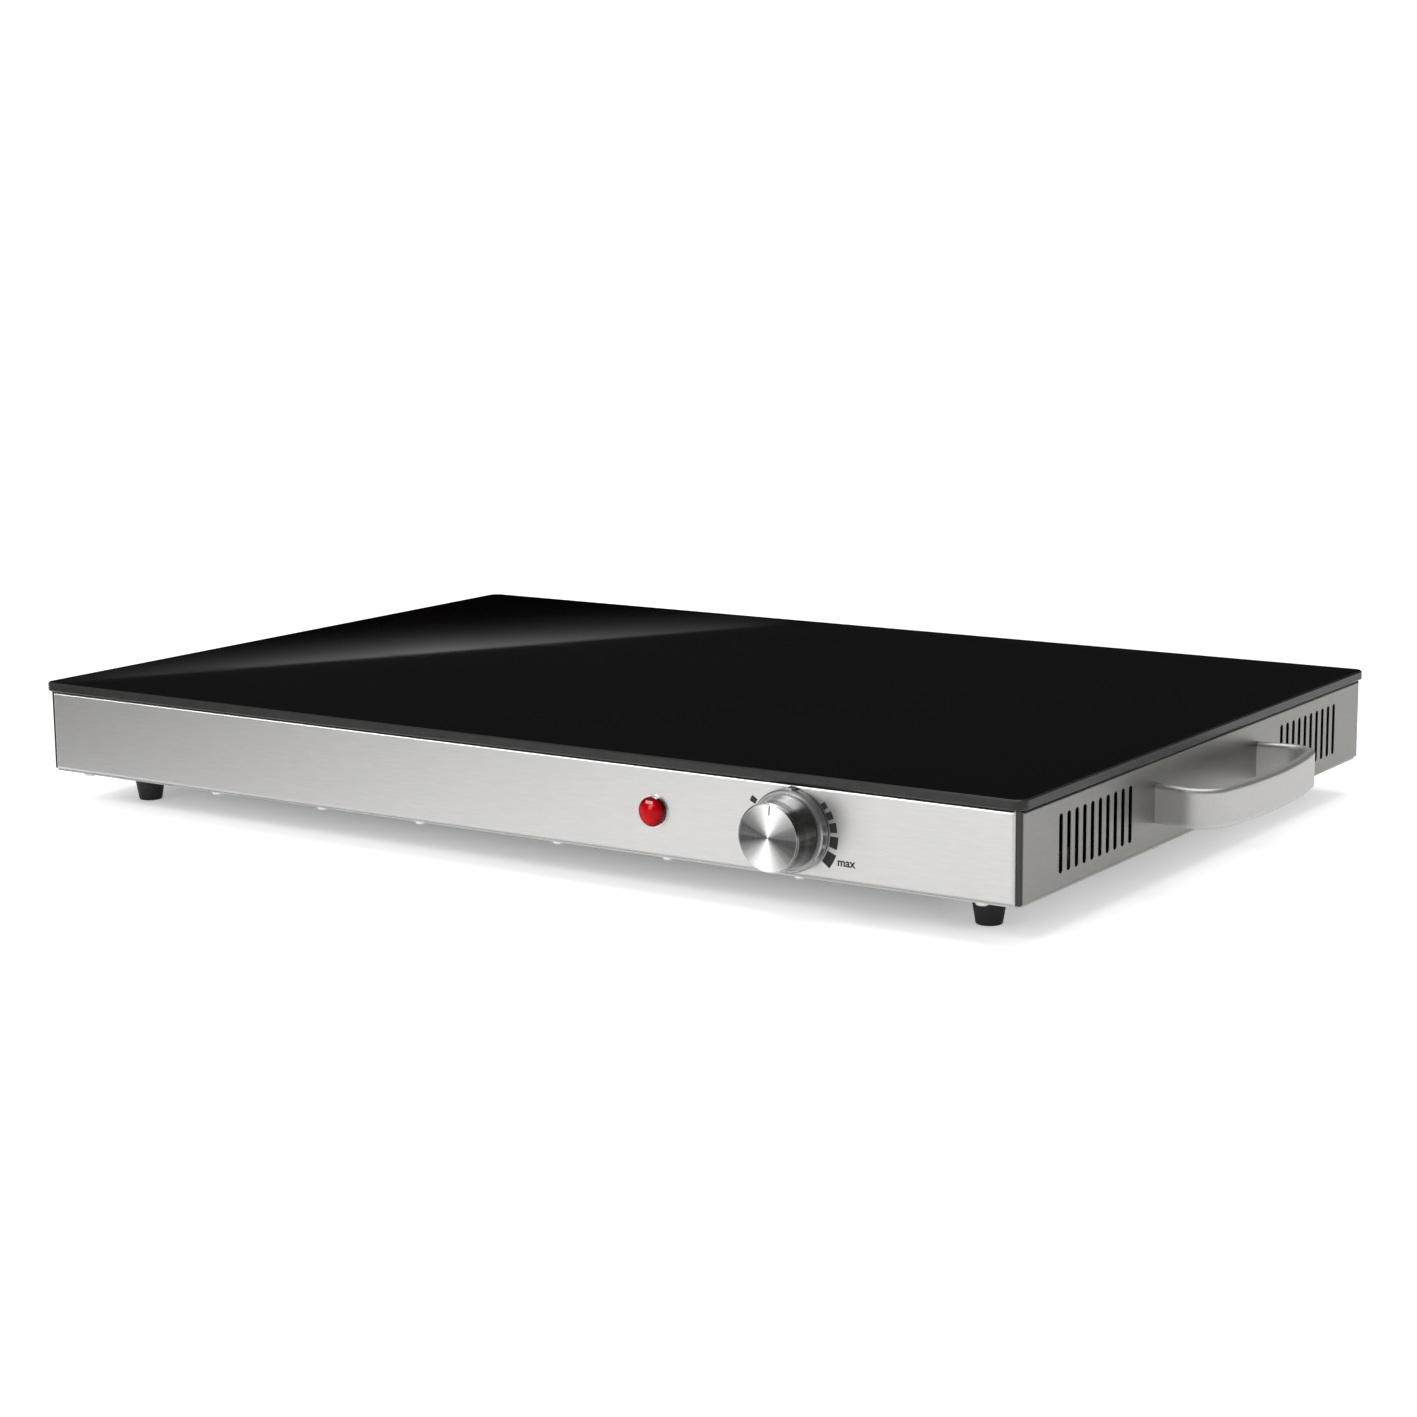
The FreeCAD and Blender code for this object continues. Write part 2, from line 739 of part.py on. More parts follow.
def make_handle(side):
    path, start, across = handle_path()
    half_band = handle_band / 2.0
    half_height = handle_height / 2.0
    up = Vector(0, 0, 1)
    flat_across = half_band - handle_round
    flat_up = half_height - handle_round
    diagonal = handle_round * math.sqrt(0.5)
    edges = []
    corners = ((1, 1), (-1, 1), (-1, -1), (1, -1))
    for index, (a, b) in enumerate(corners):
        centre = start + across * (a * flat_across) + up * (b * flat_up)
        on_side = centre + across * (a * handle_round)
        on_top = centre + up * (b * handle_round)
        middle = centre + across * (a * diagonal) + up * (b * diagonal)
        first, last = (on_side, on_top) if index % 2 == 0 else (on_top, on_side)
        edges.append(Part.Arc(first, middle, last).toShape())
        next_a, next_b = corners[(index + 1) % 4]
        next_centre = start + across * (next_a * flat_across) + up * (next_b * flat_up)
        if index % 2 == 0:
            edges.append(Part.LineSegment(last, next_centre + up * (next_b * handle_round)).toShape())
        else:
            edges.append(Part.LineSegment(last, next_centre + across * (next_a * handle_round)).toShape())
    band = path.makePipeShell([Part.Wire(edges)], True, True)
    keep = block(0, handle_reach * 2, -glass_depth, glass_depth, -handle_height, handle_height)
    band = band.common(keep)
    if side < 0:
        band.rotate(Vector(0, 0, 0), Vector(0, 0, 1), 180)
    band.translate(Vector(side * half_length, centre_y, wall_mid))
    cutters = []
    for y, z in handle_screw_places():
        start_point = Vector(side * half_length, y, z)
        cutters.append(rod(handle_screw_r + screw_hole_gap, start_point, Vector(side, 0, 0), handle_screw_length))
    return drilled(band, cutters)


def make_handle_screws():
    screws = []
    for side in (-1, 1):
        for y, z in handle_screw_places():
            seat = Vector(side * (half_length - sheet), y, z)
            screws.append(pan_head_screw(seat, Vector(-side, 0, 0), handle_screw_head_r,
                                         handle_screw_head_h, handle_screw_r, handle_screw_length))
    return Part.makeCompound(screws)


# ---------------------------------------------------------------- knob and spindle
def about_spindle(points):
    """Turn a (radius, distance out from the panel) outline about the spindle's axis."""
    return revolve_profile(points, Vector(knob_x, front_y, wall_mid), Vector(0, -1, 0), Vector(1, 0, 0))


def knob_block(x0, x1, out0, out1, z0, z1):
    """Box given about the spindle's axis, with distances out from the panel."""
    return block(knob_x + x0, knob_x + x1, front_y - out1, front_y - out0, wall_mid + z0, wall_mid + z1)


def turned_to_rest(shape):
    """Turn a knob piece to its pose at rest."""
    shape.rotate(Vector(knob_x, front_y, wall_mid), Vector(0, 1, 0), knob_rest_deg)
    return shape


def nut_recess_r():
    return bushing_nut_width / 2.0 / math.cos(math.pi / 6) + recess_gap


def spindle_flat_z():
    return spindle_r - spindle_flat


def make_knob_core():
    skirt_front = knob_gap + skirt_depth
    web_front = skirt_front + web_thick
    bore_r = spindle_r + spindle_fit
    hub_front = knob_standout - knob_wall - cap_end_gap
    web_r = knob_base_r - knob_wall - cap_fit - (knob_base_r - knob_face_r) * web_thick / skirt_depth
    groove_r = knob_base_r + skirt_groove
    outline = [
        (nut_recess_r(), knob_gap),
        (skirt_r, knob_gap),
        (skirt_r, skirt_front - skirt_chamfer),
        (skirt_r - skirt_chamfer, skirt_front),
        (groove_r, skirt_front),
        (groove_r, skirt_front - skirt_groove),
        (knob_base_r, skirt_front - skirt_groove),
        (knob_base_r, skirt_front),
        (web_r, skirt_front),
        (web_r, web_front),
        (hub_r, web_front),
        (hub_r, hub_front),
        (0, hub_front),
        (0, skirt_front),
        (nut_recess_r(), skirt_front),
    ]
    core = about_spindle(outline)
    nib = knob_block(-nib_width / 2.0, nib_width / 2.0, knob_gap, skirt_front - skirt_chamfer,
                     skirt_r - nib_height, skirt_r + nib_height)
    core = core.fuse(nib).removeSplitter()
    bore = about_spindle([(0, skirt_front - 1), (bore_r, skirt_front - 1), (bore_r, hub_front - 2), (0, hub_front - 2)])
    flat = knob_block(-spindle_r * 2, spindle_r * 2, spindle_standout - spindle_flat_length, hub_front,
                      spindle_flat_z() + spindle_fit, spindle_r * 2)
    bore = bore.cut(flat)
    pocket_half = clip_width / 2.0 + clip_gap
    pocket = knob_block(-pocket_half, pocket_half, spindle_standout - clip_length - clip_gap, spindle_standout,
                        spindle_flat_z(), spindle_flat_z() + clip_thick + clip_gap * 3)
    core = core.cut(bore).cut(pocket)
    return turned_to_rest(core)


def make_knob_cap():
    """Hollow turned cap with a cut line in its face for the pointer."""
    skirt_front = knob_gap + skirt_depth
    face_inner = knob_standout - knob_wall
    outline = [
        (knob_base_r - knob_wall, skirt_front),
        (knob_base_r, skirt_front),
        (knob_face_r, knob_standout - knob_chamfer),
        (knob_face_r - knob_chamfer, knob_standout),
        (0, knob_standout),
        (0, face_inner),
        (knob_face_r - knob_wall, face_inner),
    ]
    pointer_end = knob_face_r - knob_chamfer - pointer_rim_gap
    pointer = knob_block(-pointer_width / 2.0, pointer_width / 2.0, knob_standout - pointer_depth,
                         knob_standout + 1, pointer_end - pointer_length, pointer_end)
    return turned_to_rest(about_spindle(outline).cut(pointer))


def make_knob_clip():
    clip = knob_block(-clip_width / 2.0, clip_width / 2.0, spindle_standout - clip_length, spindle_standout - clip_gap,
                      spindle_flat_z() + clip_gap, spindle_flat_z() + clip_gap + clip_thick)
    return turned_to_rest(clip)


def make_spindle():
    inner_end = thermostat_front + chamber_start() + collar_gap + collar_thick - front_y
    outline = [
        (0, spindle_standout),
        (spindle_r, spindle_standout),
        (spindle_r, -inner_end + collar_thick),
        (collar_r, -inner_end + collar_thick),
        (collar_r, -inner_end),
        (0, -inner_end),
    ]
    spindle = about_spindle(outline)
    flat = knob_block(-spindle_r * 2, spindle_r * 2, spindle_standout - spindle_flat_length, spindle_standout + 1,
                      spindle_flat_z(), spindle_r * 2)
    return turned_to_rest(spindle.cut(flat))


# ---------------------------------------------------------------- thermostat
def chamber_start():
    """Distance from the thermostat's front to the chamber that holds the spindle's collar."""
    return chamber_depth


def chamber_end():
    return chamber_start() + collar_gap * 2 + collar_thick + pin_gap


def cavity_start():
    return chamber_end() + guide_length


def make_bushing():
    outline = [
        (spindle_r + spindle_fit, bushing_standout),
        (bushing_r, bushing_standout),
        (bushing_r, -sheet),
        (bushing_flange_r, -sheet),
        (bushing_flange_r, -sheet - bushing_flange),
        (spindle_r + spindle_fit, -sheet - bushing_flange),
    ]
    return about_spindle(outline)


def make_bushing_nut():
    seat = Vector(knob_x, front_y, wall_mid)
    out = Vector(0, -1, 0)
    nut = hexagon(bushing_nut_width, seat, out, Vector(1, 0, 0), bushing_nut_height)
    return nut.cut(rod(bushing_r + screw_hole_gap, seat, out, bushing_nut_height))


def make_thermostat_body():
    half_width = thermostat_width / 2.0
    half_height = thermostat_height / 2.0
    body = block(knob_x - half_width, knob_x + half_width, thermostat_front, thermostat_rear,
                 wall_mid - half_height, wall_mid + half_height)
    axis_start = Vector(knob_x, thermostat_front - 1, wall_mid)
    inward = Vector(0, 1, 0)
    chamber = Vector(knob_x, thermostat_front + chamber_start(), wall_mid)
    cavity = block(knob_x - half_width + thermostat_wall, knob_x + half_width - thermostat_wall,
                   thermostat_front + cavity_start(), thermostat_rear + 1,
                   wall_mid - half_height + thermostat_wall, wall_mid + half_height - thermostat_wall)
    post_x = knob_x - half_width + thermostat_wall
    post = block(post_x, post_x + blade_width, thermostat_front + cavity_start(), blade_front(),
                 wall_mid - blade_width / 2.0, wall_mid + blade_width / 2.0)
    body = drilled(body, [
        rod(spindle_r + bushing_hole_gap, axis_start, inward, chamber_start() + 1),
        rod(collar_r + recess_gap, chamber, inward, chamber_end() - chamber_start()),
        rod(pin_r + spindle_fit, chamber, inward, thermostat_depth),
        cavity,
    ])
    body = body.fuse(post).removeSplitter()
    return body.cut(make_terminal_tabs())


def blade_front():
    """Y of the bimetal blade's face nearest the adjuster pin."""
    return thermostat_front + cavity_start() + pin_standout + blade_gap


def make_blade():
    start_x = knob_x - thermostat_width / 2.0 + thermostat_wall
    blade = block(start_x, start_x + blade_length, blade_front(), blade_front() + blade_thick,
                  wall_mid - blade_width / 2.0, wall_mid + blade_width / 2.0)
    return blade


def make_adjuster_pin():
    start_y = thermostat_front + chamber_start() + collar_gap + collar_thick + pin_gap
    end_y = thermostat_front + cavity_start() + pin_standout
    return rod(pin_r, Vector(knob_x, start_y, wall_mid), Vector(0, 1, 0), end_y - start_y)


def make_terminal_tabs():
    tabs = []
    half_width = thermostat_width / 2.0
    for side in (-1, 1):
        inner = knob_x + side * (half_width - thermostat_wall)
        outer = knob_x + side * (half_width + tab_length)
        tabs.append(block(min(inner, outer), max(inner, outer), tab_y - tab_width / 2.0, tab_y + tab_width / 2.0,
                          wall_mid - tab_thick / 2.0, wall_mid + tab_thick / 2.0))
    return Part.makeCompound(tabs)


# ---------------------------------------------------------------- pilot lamp
def about_lamp(points):
    """Turn a (radius, distance out from the panel) outline about the lamp's axis."""
    return revolve_profile(points, Vector(lamp_x, front_y, wall_mid), Vector(0, -1, 0), Vector(1, 0, 0))


def make_lamp_housing():
    tube_inner = lamp_tube_r - lamp_tube_wall
    inner_end = sheet - lamp_tube_length
    outline = [
        (tube_inner, lamp_flange),
        (lamp_flange_r, lamp_flange),
        (lamp_flange_r, 0),
        (lamp_tube_r, 0),
        (lamp_tube_r, inner_end),
        (0, inner_end),
        (0, inner_end + lamp_tube_wall),
        (tube_inner, inner_end + lamp_tube_wall),
    ]
    return about_lamp(outline)


def make_lamp_lens():
    stem_r = lamp_tube_r - lamp_tube_wall - cap_fit
    rim_top = lamp_flange + lamp_lens_rim
    origin = Vector(lamp_x, front_y, wall_mid)
    out = Vector(0, -1, 0)
    side = Vector(1, 0, 0)
    crown = origin + out * (rim_top + lamp_lens_dome)
    edge = origin + out * rim_top + side * lamp_lens_r
    dome_r = (lamp_lens_r ** 2 + lamp_lens_dome ** 2) / (2.0 * lamp_lens_dome)
    dome_centre = crown - out * dome_r
    half_angle = math.asin(lamp_lens_r / dome_r) / 2.0
    on_dome = dome_centre + (out * math.cos(half_angle) + side * math.sin(half_angle)) * dome_r
    stem_end = origin - out * (lamp_stem_length - lamp_flange)
    corners = [
        edge,
        origin + out * lamp_flange + side * lamp_lens_r,
        origin + out * lamp_flange + side * stem_r,
        stem_end + side * stem_r,
        stem_end,
        crown,
    ]
    edges = [Part.Arc(crown, on_dome, edge).toShape()]
    for a, b in zip(corners, corners[1:]):
        edges.append(Part.LineSegment(a, b).toShape())
    return Part.Face(Part.Wire(edges)).revolve(origin, out, 360)


def make_lamp_clip():
    outline = [
        (lamp_tube_r + cap_fit, -sheet),
        (lamp_clip_r, -sheet),
        (lamp_clip_r, -sheet - lamp_clip_thick),
        (lamp_tube_r + cap_fit, -sheet - lamp_clip_thick),
    ]
    return about_lamp(outline)


def make_lamp_bulb():
    end = sheet - lamp_tube_length + lamp_tube_wall
    start = Vector(lamp_x, front_y - end, wall_mid)
    bulb = rod(bulb_r, start, Vector(0, -1, 0), bulb_length)
    tip = edges_where(bulb, lambda c, e: e.Closed and c.y < start.y - bulb_length / 2.0)
    return bulb.makeFillet(bulb_r * 0.6, tip)


# ---------------------------------------------------------------- heater
def make_spreader():
    return block(-spreader_length / 2.0, spreader_length / 2.0, centre_y - spreader_depth / 2.0,
                 centre_y + spreader_depth / 2.0, spreader_low, glass_low)


def make_element():
    """Heating cord laid to and fro, with both tails turned down at the right."""
    near_right = Vector(element_tail_x, element_first_y, element_tail_z)
    points = [near_right, Vector(element_tail_x, element_first_y, element_z)]
    x = -element_half_length
    for step in range(element_passes):
        y = element_first_y + step * element_pitch
        if step > 0:
            points.append(Vector(-x, y, element_z))
        if step < element_passes - 1:
            points.append(Vector(x, y, element_z))
        x = -x
    points.append(Vector(element_tail_x, element_last_y, element_z))
    points.append(Vector(element_tail_x, element_last_y, element_tail_z))
    # Points that only continue a straight pass are left out.
    kept = [points[0]]
    for before, here, after in zip(points, points[1:], points[2:]):
        if (here - before).getAngle(after - here) > 0.01:
            kept.append(here)
    kept.append(points[-1])
    return tube_along(kept, element_r, element_tail_bend)


def make_straps():
    """Clamp strips under the heating cord, with feet that reach the spreader plate."""
    straps = []
    reach = element_last_y - centre_y + strap_end_reach + strap_foot / 2.0
    feet = [element_first_y + (step + 0.5) * element_pitch for step in range(element_passes - 1)]
    feet += [element_first_y - strap_end_reach, element_last_y + strap_end_reach]
    for x in strap_x:
        strap = block(x - strap_width / 2.0, x + strap_width / 2.0, centre_y - reach, centre_y + reach,
                      strap_low, strap_high)
        for y in feet:
            foot = block(x - strap_width / 2.0, x + strap_width / 2.0, y - strap_foot / 2.0, y + strap_foot / 2.0,
                         strap_high, spreader_low)
            strap = strap.fuse(foot)
        straps.append(strap.removeSplitter())
    return Part.makeCompound(straps)


def tail_holes(radius, low, height):
    """Passages for the two tails of the heating cord."""
    holes = []
    for y in (element_first_y, element_last_y):
        holes.append(rod(radius, Vector(element_tail_x, y, low), Vector(0, 0, 1), height))
    return holes


def make_blanket():
    blanket = block(-blanket_length / 2.0, blanket_length / 2.0, centre_y - blanket_depth / 2.0,
                    centre_y + blanket_depth / 2.0, blanket_low, blanket_high)
    # The tails bend down within the blanket, so each passage is a slot as long as the bend.
    cutters = []
    for y in (element_first_y, element_last_y):
        cutters.append(block(element_tail_x - element_tail_bend - tail_hole_r, blanket_length / 2.0 + 1,
                             y - tail_hole_r, y + tail_hole_r, blanket_low - 1, blanket_high + 1))
    return drilled(blanket, cutters)


def make_pan():
    outer_x = pan_half_length + pan_sheet
    outer_y = pan_half_depth + pan_sheet
    outer = block(-outer_x, outer_x, centre_y - outer_y, centre_y + outer_y, pan_low, pan_rim_high)
    inner = block(-pan_half_length, pan_half_length, centre_y - pan_half_depth, centre_y + pan_half_depth,
                  pan_high_floor, pan_rim_high + 1)
    pan = outer.cut(inner)
    cutters = tail_holes(tail_hole_r, pan_low - 1, pan_sheet + 2)
    for x, y in spacer_places():
        cutters.append(rod(spacer_spigot_r + screw_hole_gap, Vector(x, y, pan_low - 1), Vector(0, 0, 1),
                           pan_sheet + 2))
    return drilled(pan, cutters)


def make_spacers():
    """Posts clinched into the pan and screwed to the bottom cover."""
    spacers = []
    up = Vector(0, 0, 1)
    for x, y in spacer_places():
        post = rod(spacer_r, Vector(x, y, wall_low), up, pan_low - wall_low)
        spigot = rod(spacer_spigot_r, Vector(x, y, pan_low), up, pan_sheet)
        bore = rod(foot_screw_r + screw_hole_gap, Vector(x, y, wall_low), up, spacer_bore_depth)
        spacers.append(post.fuse(spigot).cut(bore).removeSplitter())
    return Part.makeCompound(spacers)


def make_spacer_screws():
    screws = []
    length = sheet + spacer_bore_depth - 1.0
    for x, y in spacer_places():
        seat = Vector(x, y, foot_height)
        screws.append(pan_head_screw(seat, Vector(0, 0, -1), screw_head_r, screw_head_h, foot_screw_r, length))
    return Part.makeCompound(screws)


# ---------------------------------------------------------------- inlet
def inlet_pin_places():
    """(x, z) of the three contacts: two low, the earth contact high."""
    return [
        (inlet_x - pin_pitch, wall_mid - pin_step),
        (inlet_x + pin_pitch, wall_mid - pin_step),
        (inlet_x, wall_mid + pin_step),
    ]


def make_inlet_pins():
    pins = []
    inner_y = rear_y - inlet_body_depth
    for x, z in inlet_pin_places():
        blade = block(x - pin_width / 2.0, x + pin_width / 2.0, inner_y, rear_y - pin_short,
                      z - pin_height / 2.0, z + pin_height / 2.0)
        tab = block(x - tab_thick / 2.0, x + tab_thick / 2.0, inner_y - inlet_tab_length, inner_y,
                    z - tab_width / 2.0, z + tab_width / 2.0)
        pins.append(blade.fuse(tab).removeSplitter())
    return Part.makeCompound(pins)


def make_inlet_body():
    flange = block(inlet_x - inlet_flange_length / 2.0, inlet_x + inlet_flange_length / 2.0,
                   rear_y, rear_y + inlet_flange,
                   wall_mid - inlet_flange_height / 2.0, wall_mid + inlet_flange_height / 2.0)
    flange = flange.makeFillet(inlet_flange_corner,
                               edges_where(flange, lambda c, e: e.BoundBox.YLength > inlet_flange / 2.0))
    inner_y = rear_y - inlet_body_depth
    shell = inlet_outline(inlet_body_length, inlet_body_height, inner_y, 0.0)
    shell = shell.extrude(Vector(0, inlet_body_depth, 0))
    body = flange.fuse(shell).removeSplitter()
    cavity = inlet_outline(inlet_cavity_length, inlet_cavity_height, rear_y + inlet_flange - inlet_cavity_depth, 0.0)
    body = body.cut(cavity.extrude(Vector(0, inlet_cavity_depth + 1, 0)))
    cutters = []
    for x, z in inlet_pin_places():
        cutters.append(block(x - pin_width / 2.0, x + pin_width / 2.0, inner_y - 1, rear_y,
                             z - pin_height / 2.0, z + pin_height / 2.0))
    for side in (-1, 1):
        centre = Vector(inlet_x + side * inlet_screw_span / 2.0, rear_y, wall_mid)
        cutters.append(rod(inlet_screw_r + screw_hole_gap, centre, Vector(0, 1, 0), inlet_flange))
        cone = Part.makeCone(inlet_screw_r + screw_hole_gap, inlet_screw_head_r + screw_hole_gap, inlet_flange,
                             centre, Vector(0, 1, 0))
        cutters.append(cone)
    return drilled(body, cutters)


def make_inlet_screws():
    """Countersunk screws, flush with the flange, each with its nut inside the wall."""
    pieces = []
    inward = Vector(0, -1, 0)
    for side in (-1, 1):
        face = Vector(inlet_x + side * inlet_screw_span / 2.0, rear_y + inlet_flange, wall_mid)
        head = Part.makeCone(inlet_screw_head_r, inlet_screw_r, inlet_flange, face, inward)
        shank = rod(inlet_screw_r, face + inward * inlet_flange, inward, inlet_screw_length)
        cross = block(face.x - inlet_screw_head_r * 0.55, face.x + inlet_screw_head_r * 0.55,
                      face.y - screw_recess * 0.7, face.y + 1,
                      face.z - screw_recess_width / 2.0, face.z + screw_recess_width / 2.0)
        other = cross.copy()
        other.rotate(face, Vector(0, 1, 0), 90)
        pieces.append(head.fuse(shank).cut(cross).cut(other).removeSplitter())
        nut_seat = Vector(face.x, rear_y - sheet, wall_mid)
        nut = hexagon(inlet_nut_width, nut_seat, inward, Vector(1, 0, 0), inlet_nut_height)
        pieces.append(nut.cut(rod(inlet_screw_r + screw_hole_gap, nut_seat, inward, inlet_nut_height)))
    return Part.makeCompound(pieces)


# ---------------------------------------------------------------- wiring
def earth_y():
    return inlet_tab_y - lug_barrel - lug_r


def make_live_wire():
    x, z = inlet_pin_places()[0]
    cross_y = element_last_y + live_cross_gap
    points = [
        Vector(x, inlet_tab_y, z),
        Vector(x, cross_y, z),
        Vector(x, cross_y, wire_floor_z),
        Vector(live_run_x, cross_y, wire_floor_z),
        Vector(live_run_x, tab_y, wire_floor_z),
        Vector(riser_x, tab_y, wire_floor_z),
        Vector(riser_x, tab_y, wall_mid),
        Vector(knob_x + thermostat_width / 2.0 + tab_length, tab_y, wall_mid),
    ]
    return tube_along(points, wire_r, wire_bend)


def make_neutral_wire():
    x, z = inlet_pin_places()[1]
    points = [
        Vector(x, inlet_tab_y, z),
        Vector(x, element_last_y, z),
        Vector(x, element_last_y, neutral_low_z),
        Vector(element_tail_x, element_last_y, neutral_low_z),
        Vector(element_tail_x, element_last_y, element_tail_z),
    ]
    return tube_along(points, wire_r, splice_bend)


def fuse_z():
    return pan_low - fuse_clip_thick - fuse_r


def make_switched_wire():
    start_x = knob_x - thermostat_width / 2.0 - tab_length
    turn_x = start_x - 2.0 * wire_bend - wire_r
    points = [
        Vector(start_x, tab_y, wall_mid),
        Vector(turn_x, tab_y, wall_mid),
        Vector(turn_x, element_first_y, fuse_z()),
        Vector(fuse_x - fuse_length / 2.0, element_first_y, fuse_z()),
    ]
    return tube_along(points, wire_r, wire_bend)


def make_fused_wire():
    start_x = fuse_x + fuse_length / 2.0
    turn_x = start_x + 3.0 * wire_bend
    points = [
        Vector(start_x, element_first_y, fuse_z()),
        Vector(turn_x, element_first_y, fuse_z()),
        Vector(turn_x, element_first_y, neutral_low_z),
        Vector(element_tail_x, element_first_y, neutral_low_z),
        Vector(element_tail_x, element_first_y, element_tail_z),
    ]
    return tube_along(points, wire_r, splice_bend)


def make_fuse():
    start = Vector(fuse_x - fuse_length / 2.0, element_first_y, fuse_z())
    body = rod(fuse_r, start, Vector(1, 0, 0), fuse_length)
    return body.makeChamfer(fuse_r * 0.3, edges_where(body, lambda c, e: e.Closed and e.BoundBox.XLength < 0.01))


def make_fuse_clip():
    """Saddle that holds the thermal fuse under the pan."""
    half_width = fuse_clip_width / 2.0
    reach = fuse_r + fuse_clip_thick
    clip = rod(reach, Vector(fuse_x - half_width, element_first_y, fuse_z()), Vector(1, 0, 0), fuse_clip_width)
    ears = block(fuse_x - half_width, fuse_x + half_width, element_first_y - reach * 2, element_first_y + reach * 2,
                 pan_low - fuse_clip_thick, pan_low)
    hole_start = Vector(fuse_x - half_width - 1, element_first_y, fuse_z())
    hole = rod(fuse_r + cap_fit, hole_start, Vector(1, 0, 0), fuse_clip_width + 2)
    return clip.fuse(ears).cut(hole).removeSplitter()


def make_splices():
    """Insulated sleeves where the tails of the heating cord meet the wires."""
    sleeves = []
    for y in (element_first_y, element_last_y):
        low = Vector(element_tail_x, y, element_tail_z - splice_length / 2.0 + 1)
        sleeve = rod(splice_r, low, Vector(0, 0, 1), splice_length)
        sleeves.append(sleeve.cut(rod(element_r + splice_fit, low, Vector(0, 0, 1), splice_length)))
    return Part.makeCompound(sleeves)


def make_lamp_leads():
    """Two thin leads: one to the switched terminal, one to the neutral splice."""
    lamp_end = front_y + lamp_tube_length - sheet
    drop_y = front_y + lead_drop_y
    tab_x = knob_x - thermostat_width / 2.0 - tab_length / 2.0
    low_z = wall_mid - wire_bend * 2.0
    live = [
        Vector(lamp_x + lamp_lead_x, lamp_end, wall_mid),
        Vector(lamp_x + lamp_lead_x, drop_y, wall_mid),
        Vector(lamp_x + lamp_lead_x, drop_y, low_z),
        Vector(tab_x, drop_y, low_z),
        Vector(tab_x, tab_y, low_z),
        Vector(tab_x, tab_y, wall_mid - tab_thick / 2.0),
    ]
    lead_y = element_last_y + lead_cross_gap
    neutral = [
        Vector(lamp_x - lamp_lead_x, lamp_end, wall_mid),
        Vector(lamp_x - lamp_lead_x, drop_y, wall_mid),
        Vector(lamp_x - lamp_lead_x, drop_y, lead_floor_z),
        Vector(lamp_x - lamp_lead_x, lead_y, lead_floor_z),
        Vector(element_tail_x, lead_y, lead_floor_z),
        Vector(element_tail_x, lead_y, element_tail_z),
        Vector(element_tail_x, element_last_y + splice_r, element_tail_z),
    ]
    return Part.makeCompound([
        tube_along(live, lead_r, splice_bend),
        tube_along(neutral, lead_r, splice_bend),
    ])


def make_earth_wire():
    x, z = inlet_pin_places()[2]
    lug_z = wall_low + nut_height + lug_thick + wire_r
    points = [
        Vector(x, inlet_tab_y, z),
        Vector(x, earth_y(), z),
        Vector(x, earth_y(), lug_z),
        Vector(earth_x - lug_r - lug_barrel, earth_y(), lug_z),
    ]
    return tube_along(points, wire_r, wire_bend)


def make_earth_stud():
    """Screw through the cover with its nut; the lug sits on the nut."""
    up = Vector(0, 0, 1)
    seat = Vector(earth_x, earth_y(), foot_height)
    length = sheet + nut_height * 2.0 + lug_thick + nut_stud
    screw = pan_head_screw(seat, Vector(0, 0, -1), screw_head_r, screw_head_h, earth_screw_r, length)
    pieces = [screw]
    for low in (wall_low, wall_low + nut_height + lug_thick):
        start = Vector(earth_x, earth_y(), low)
        nut = hexagon(nut_width, start, up, Vector(1, 0, 0), nut_height)
        pieces.append(nut.cut(rod(earth_screw_r + screw_hole_gap, start, up, nut_height)))
    return Part.makeCompound(pieces)


def make_earth_lug():
    up = Vector(0, 0, 1)
    low = wall_low + nut_height
    centre = Vector(earth_x, earth_y(), low)
    ring = rod(lug_r, centre, up, lug_thick)
    tongue = block(earth_x - lug_r - lug_barrel, earth_x, earth_y() - lug_r / 2.0, earth_y() + lug_r / 2.0,
                   low, low + lug_thick)
    hole = rod(earth_screw_r + screw_hole_gap, centre, up, lug_thick)
    return ring.fuse(tongue).cut(hole).removeSplitter()


def make_wire_clips():
    """Saddles that hold the live wire to the bottom cover along the right side."""
    clips = []
    outer = wire_r + wire_clip_fit + wire_clip_wall
    for offset in wire_clip_y:
        y = centre_y + offset
        low = wall_low
        base = block(live_run_x - outer, live_run_x + outer, y - wire_clip_width / 2.0, y + wire_clip_width / 2.0,
                     low, wire_floor_z)
        start = Vector(live_run_x, y - wire_clip_width / 2.0, wire_floor_z)
        arch = rod(outer, start, Vector(0, 1, 0), wire_clip_width)
        clip = base.fuse(arch)
        below = block(live_run_x - outer * 2, live_run_x + outer * 2, y - wire_clip_width, y + wire_clip_width,
                      low - outer * 2, low)
        hole = rod(wire_r + wire_clip_fit, start - Vector(0, 1, 0), Vector(0, 1, 0), wire_clip_width + 2)
        clips.append(clip.cut(hole).cut(below).removeSplitter())
    return Part.makeCompound(clips)


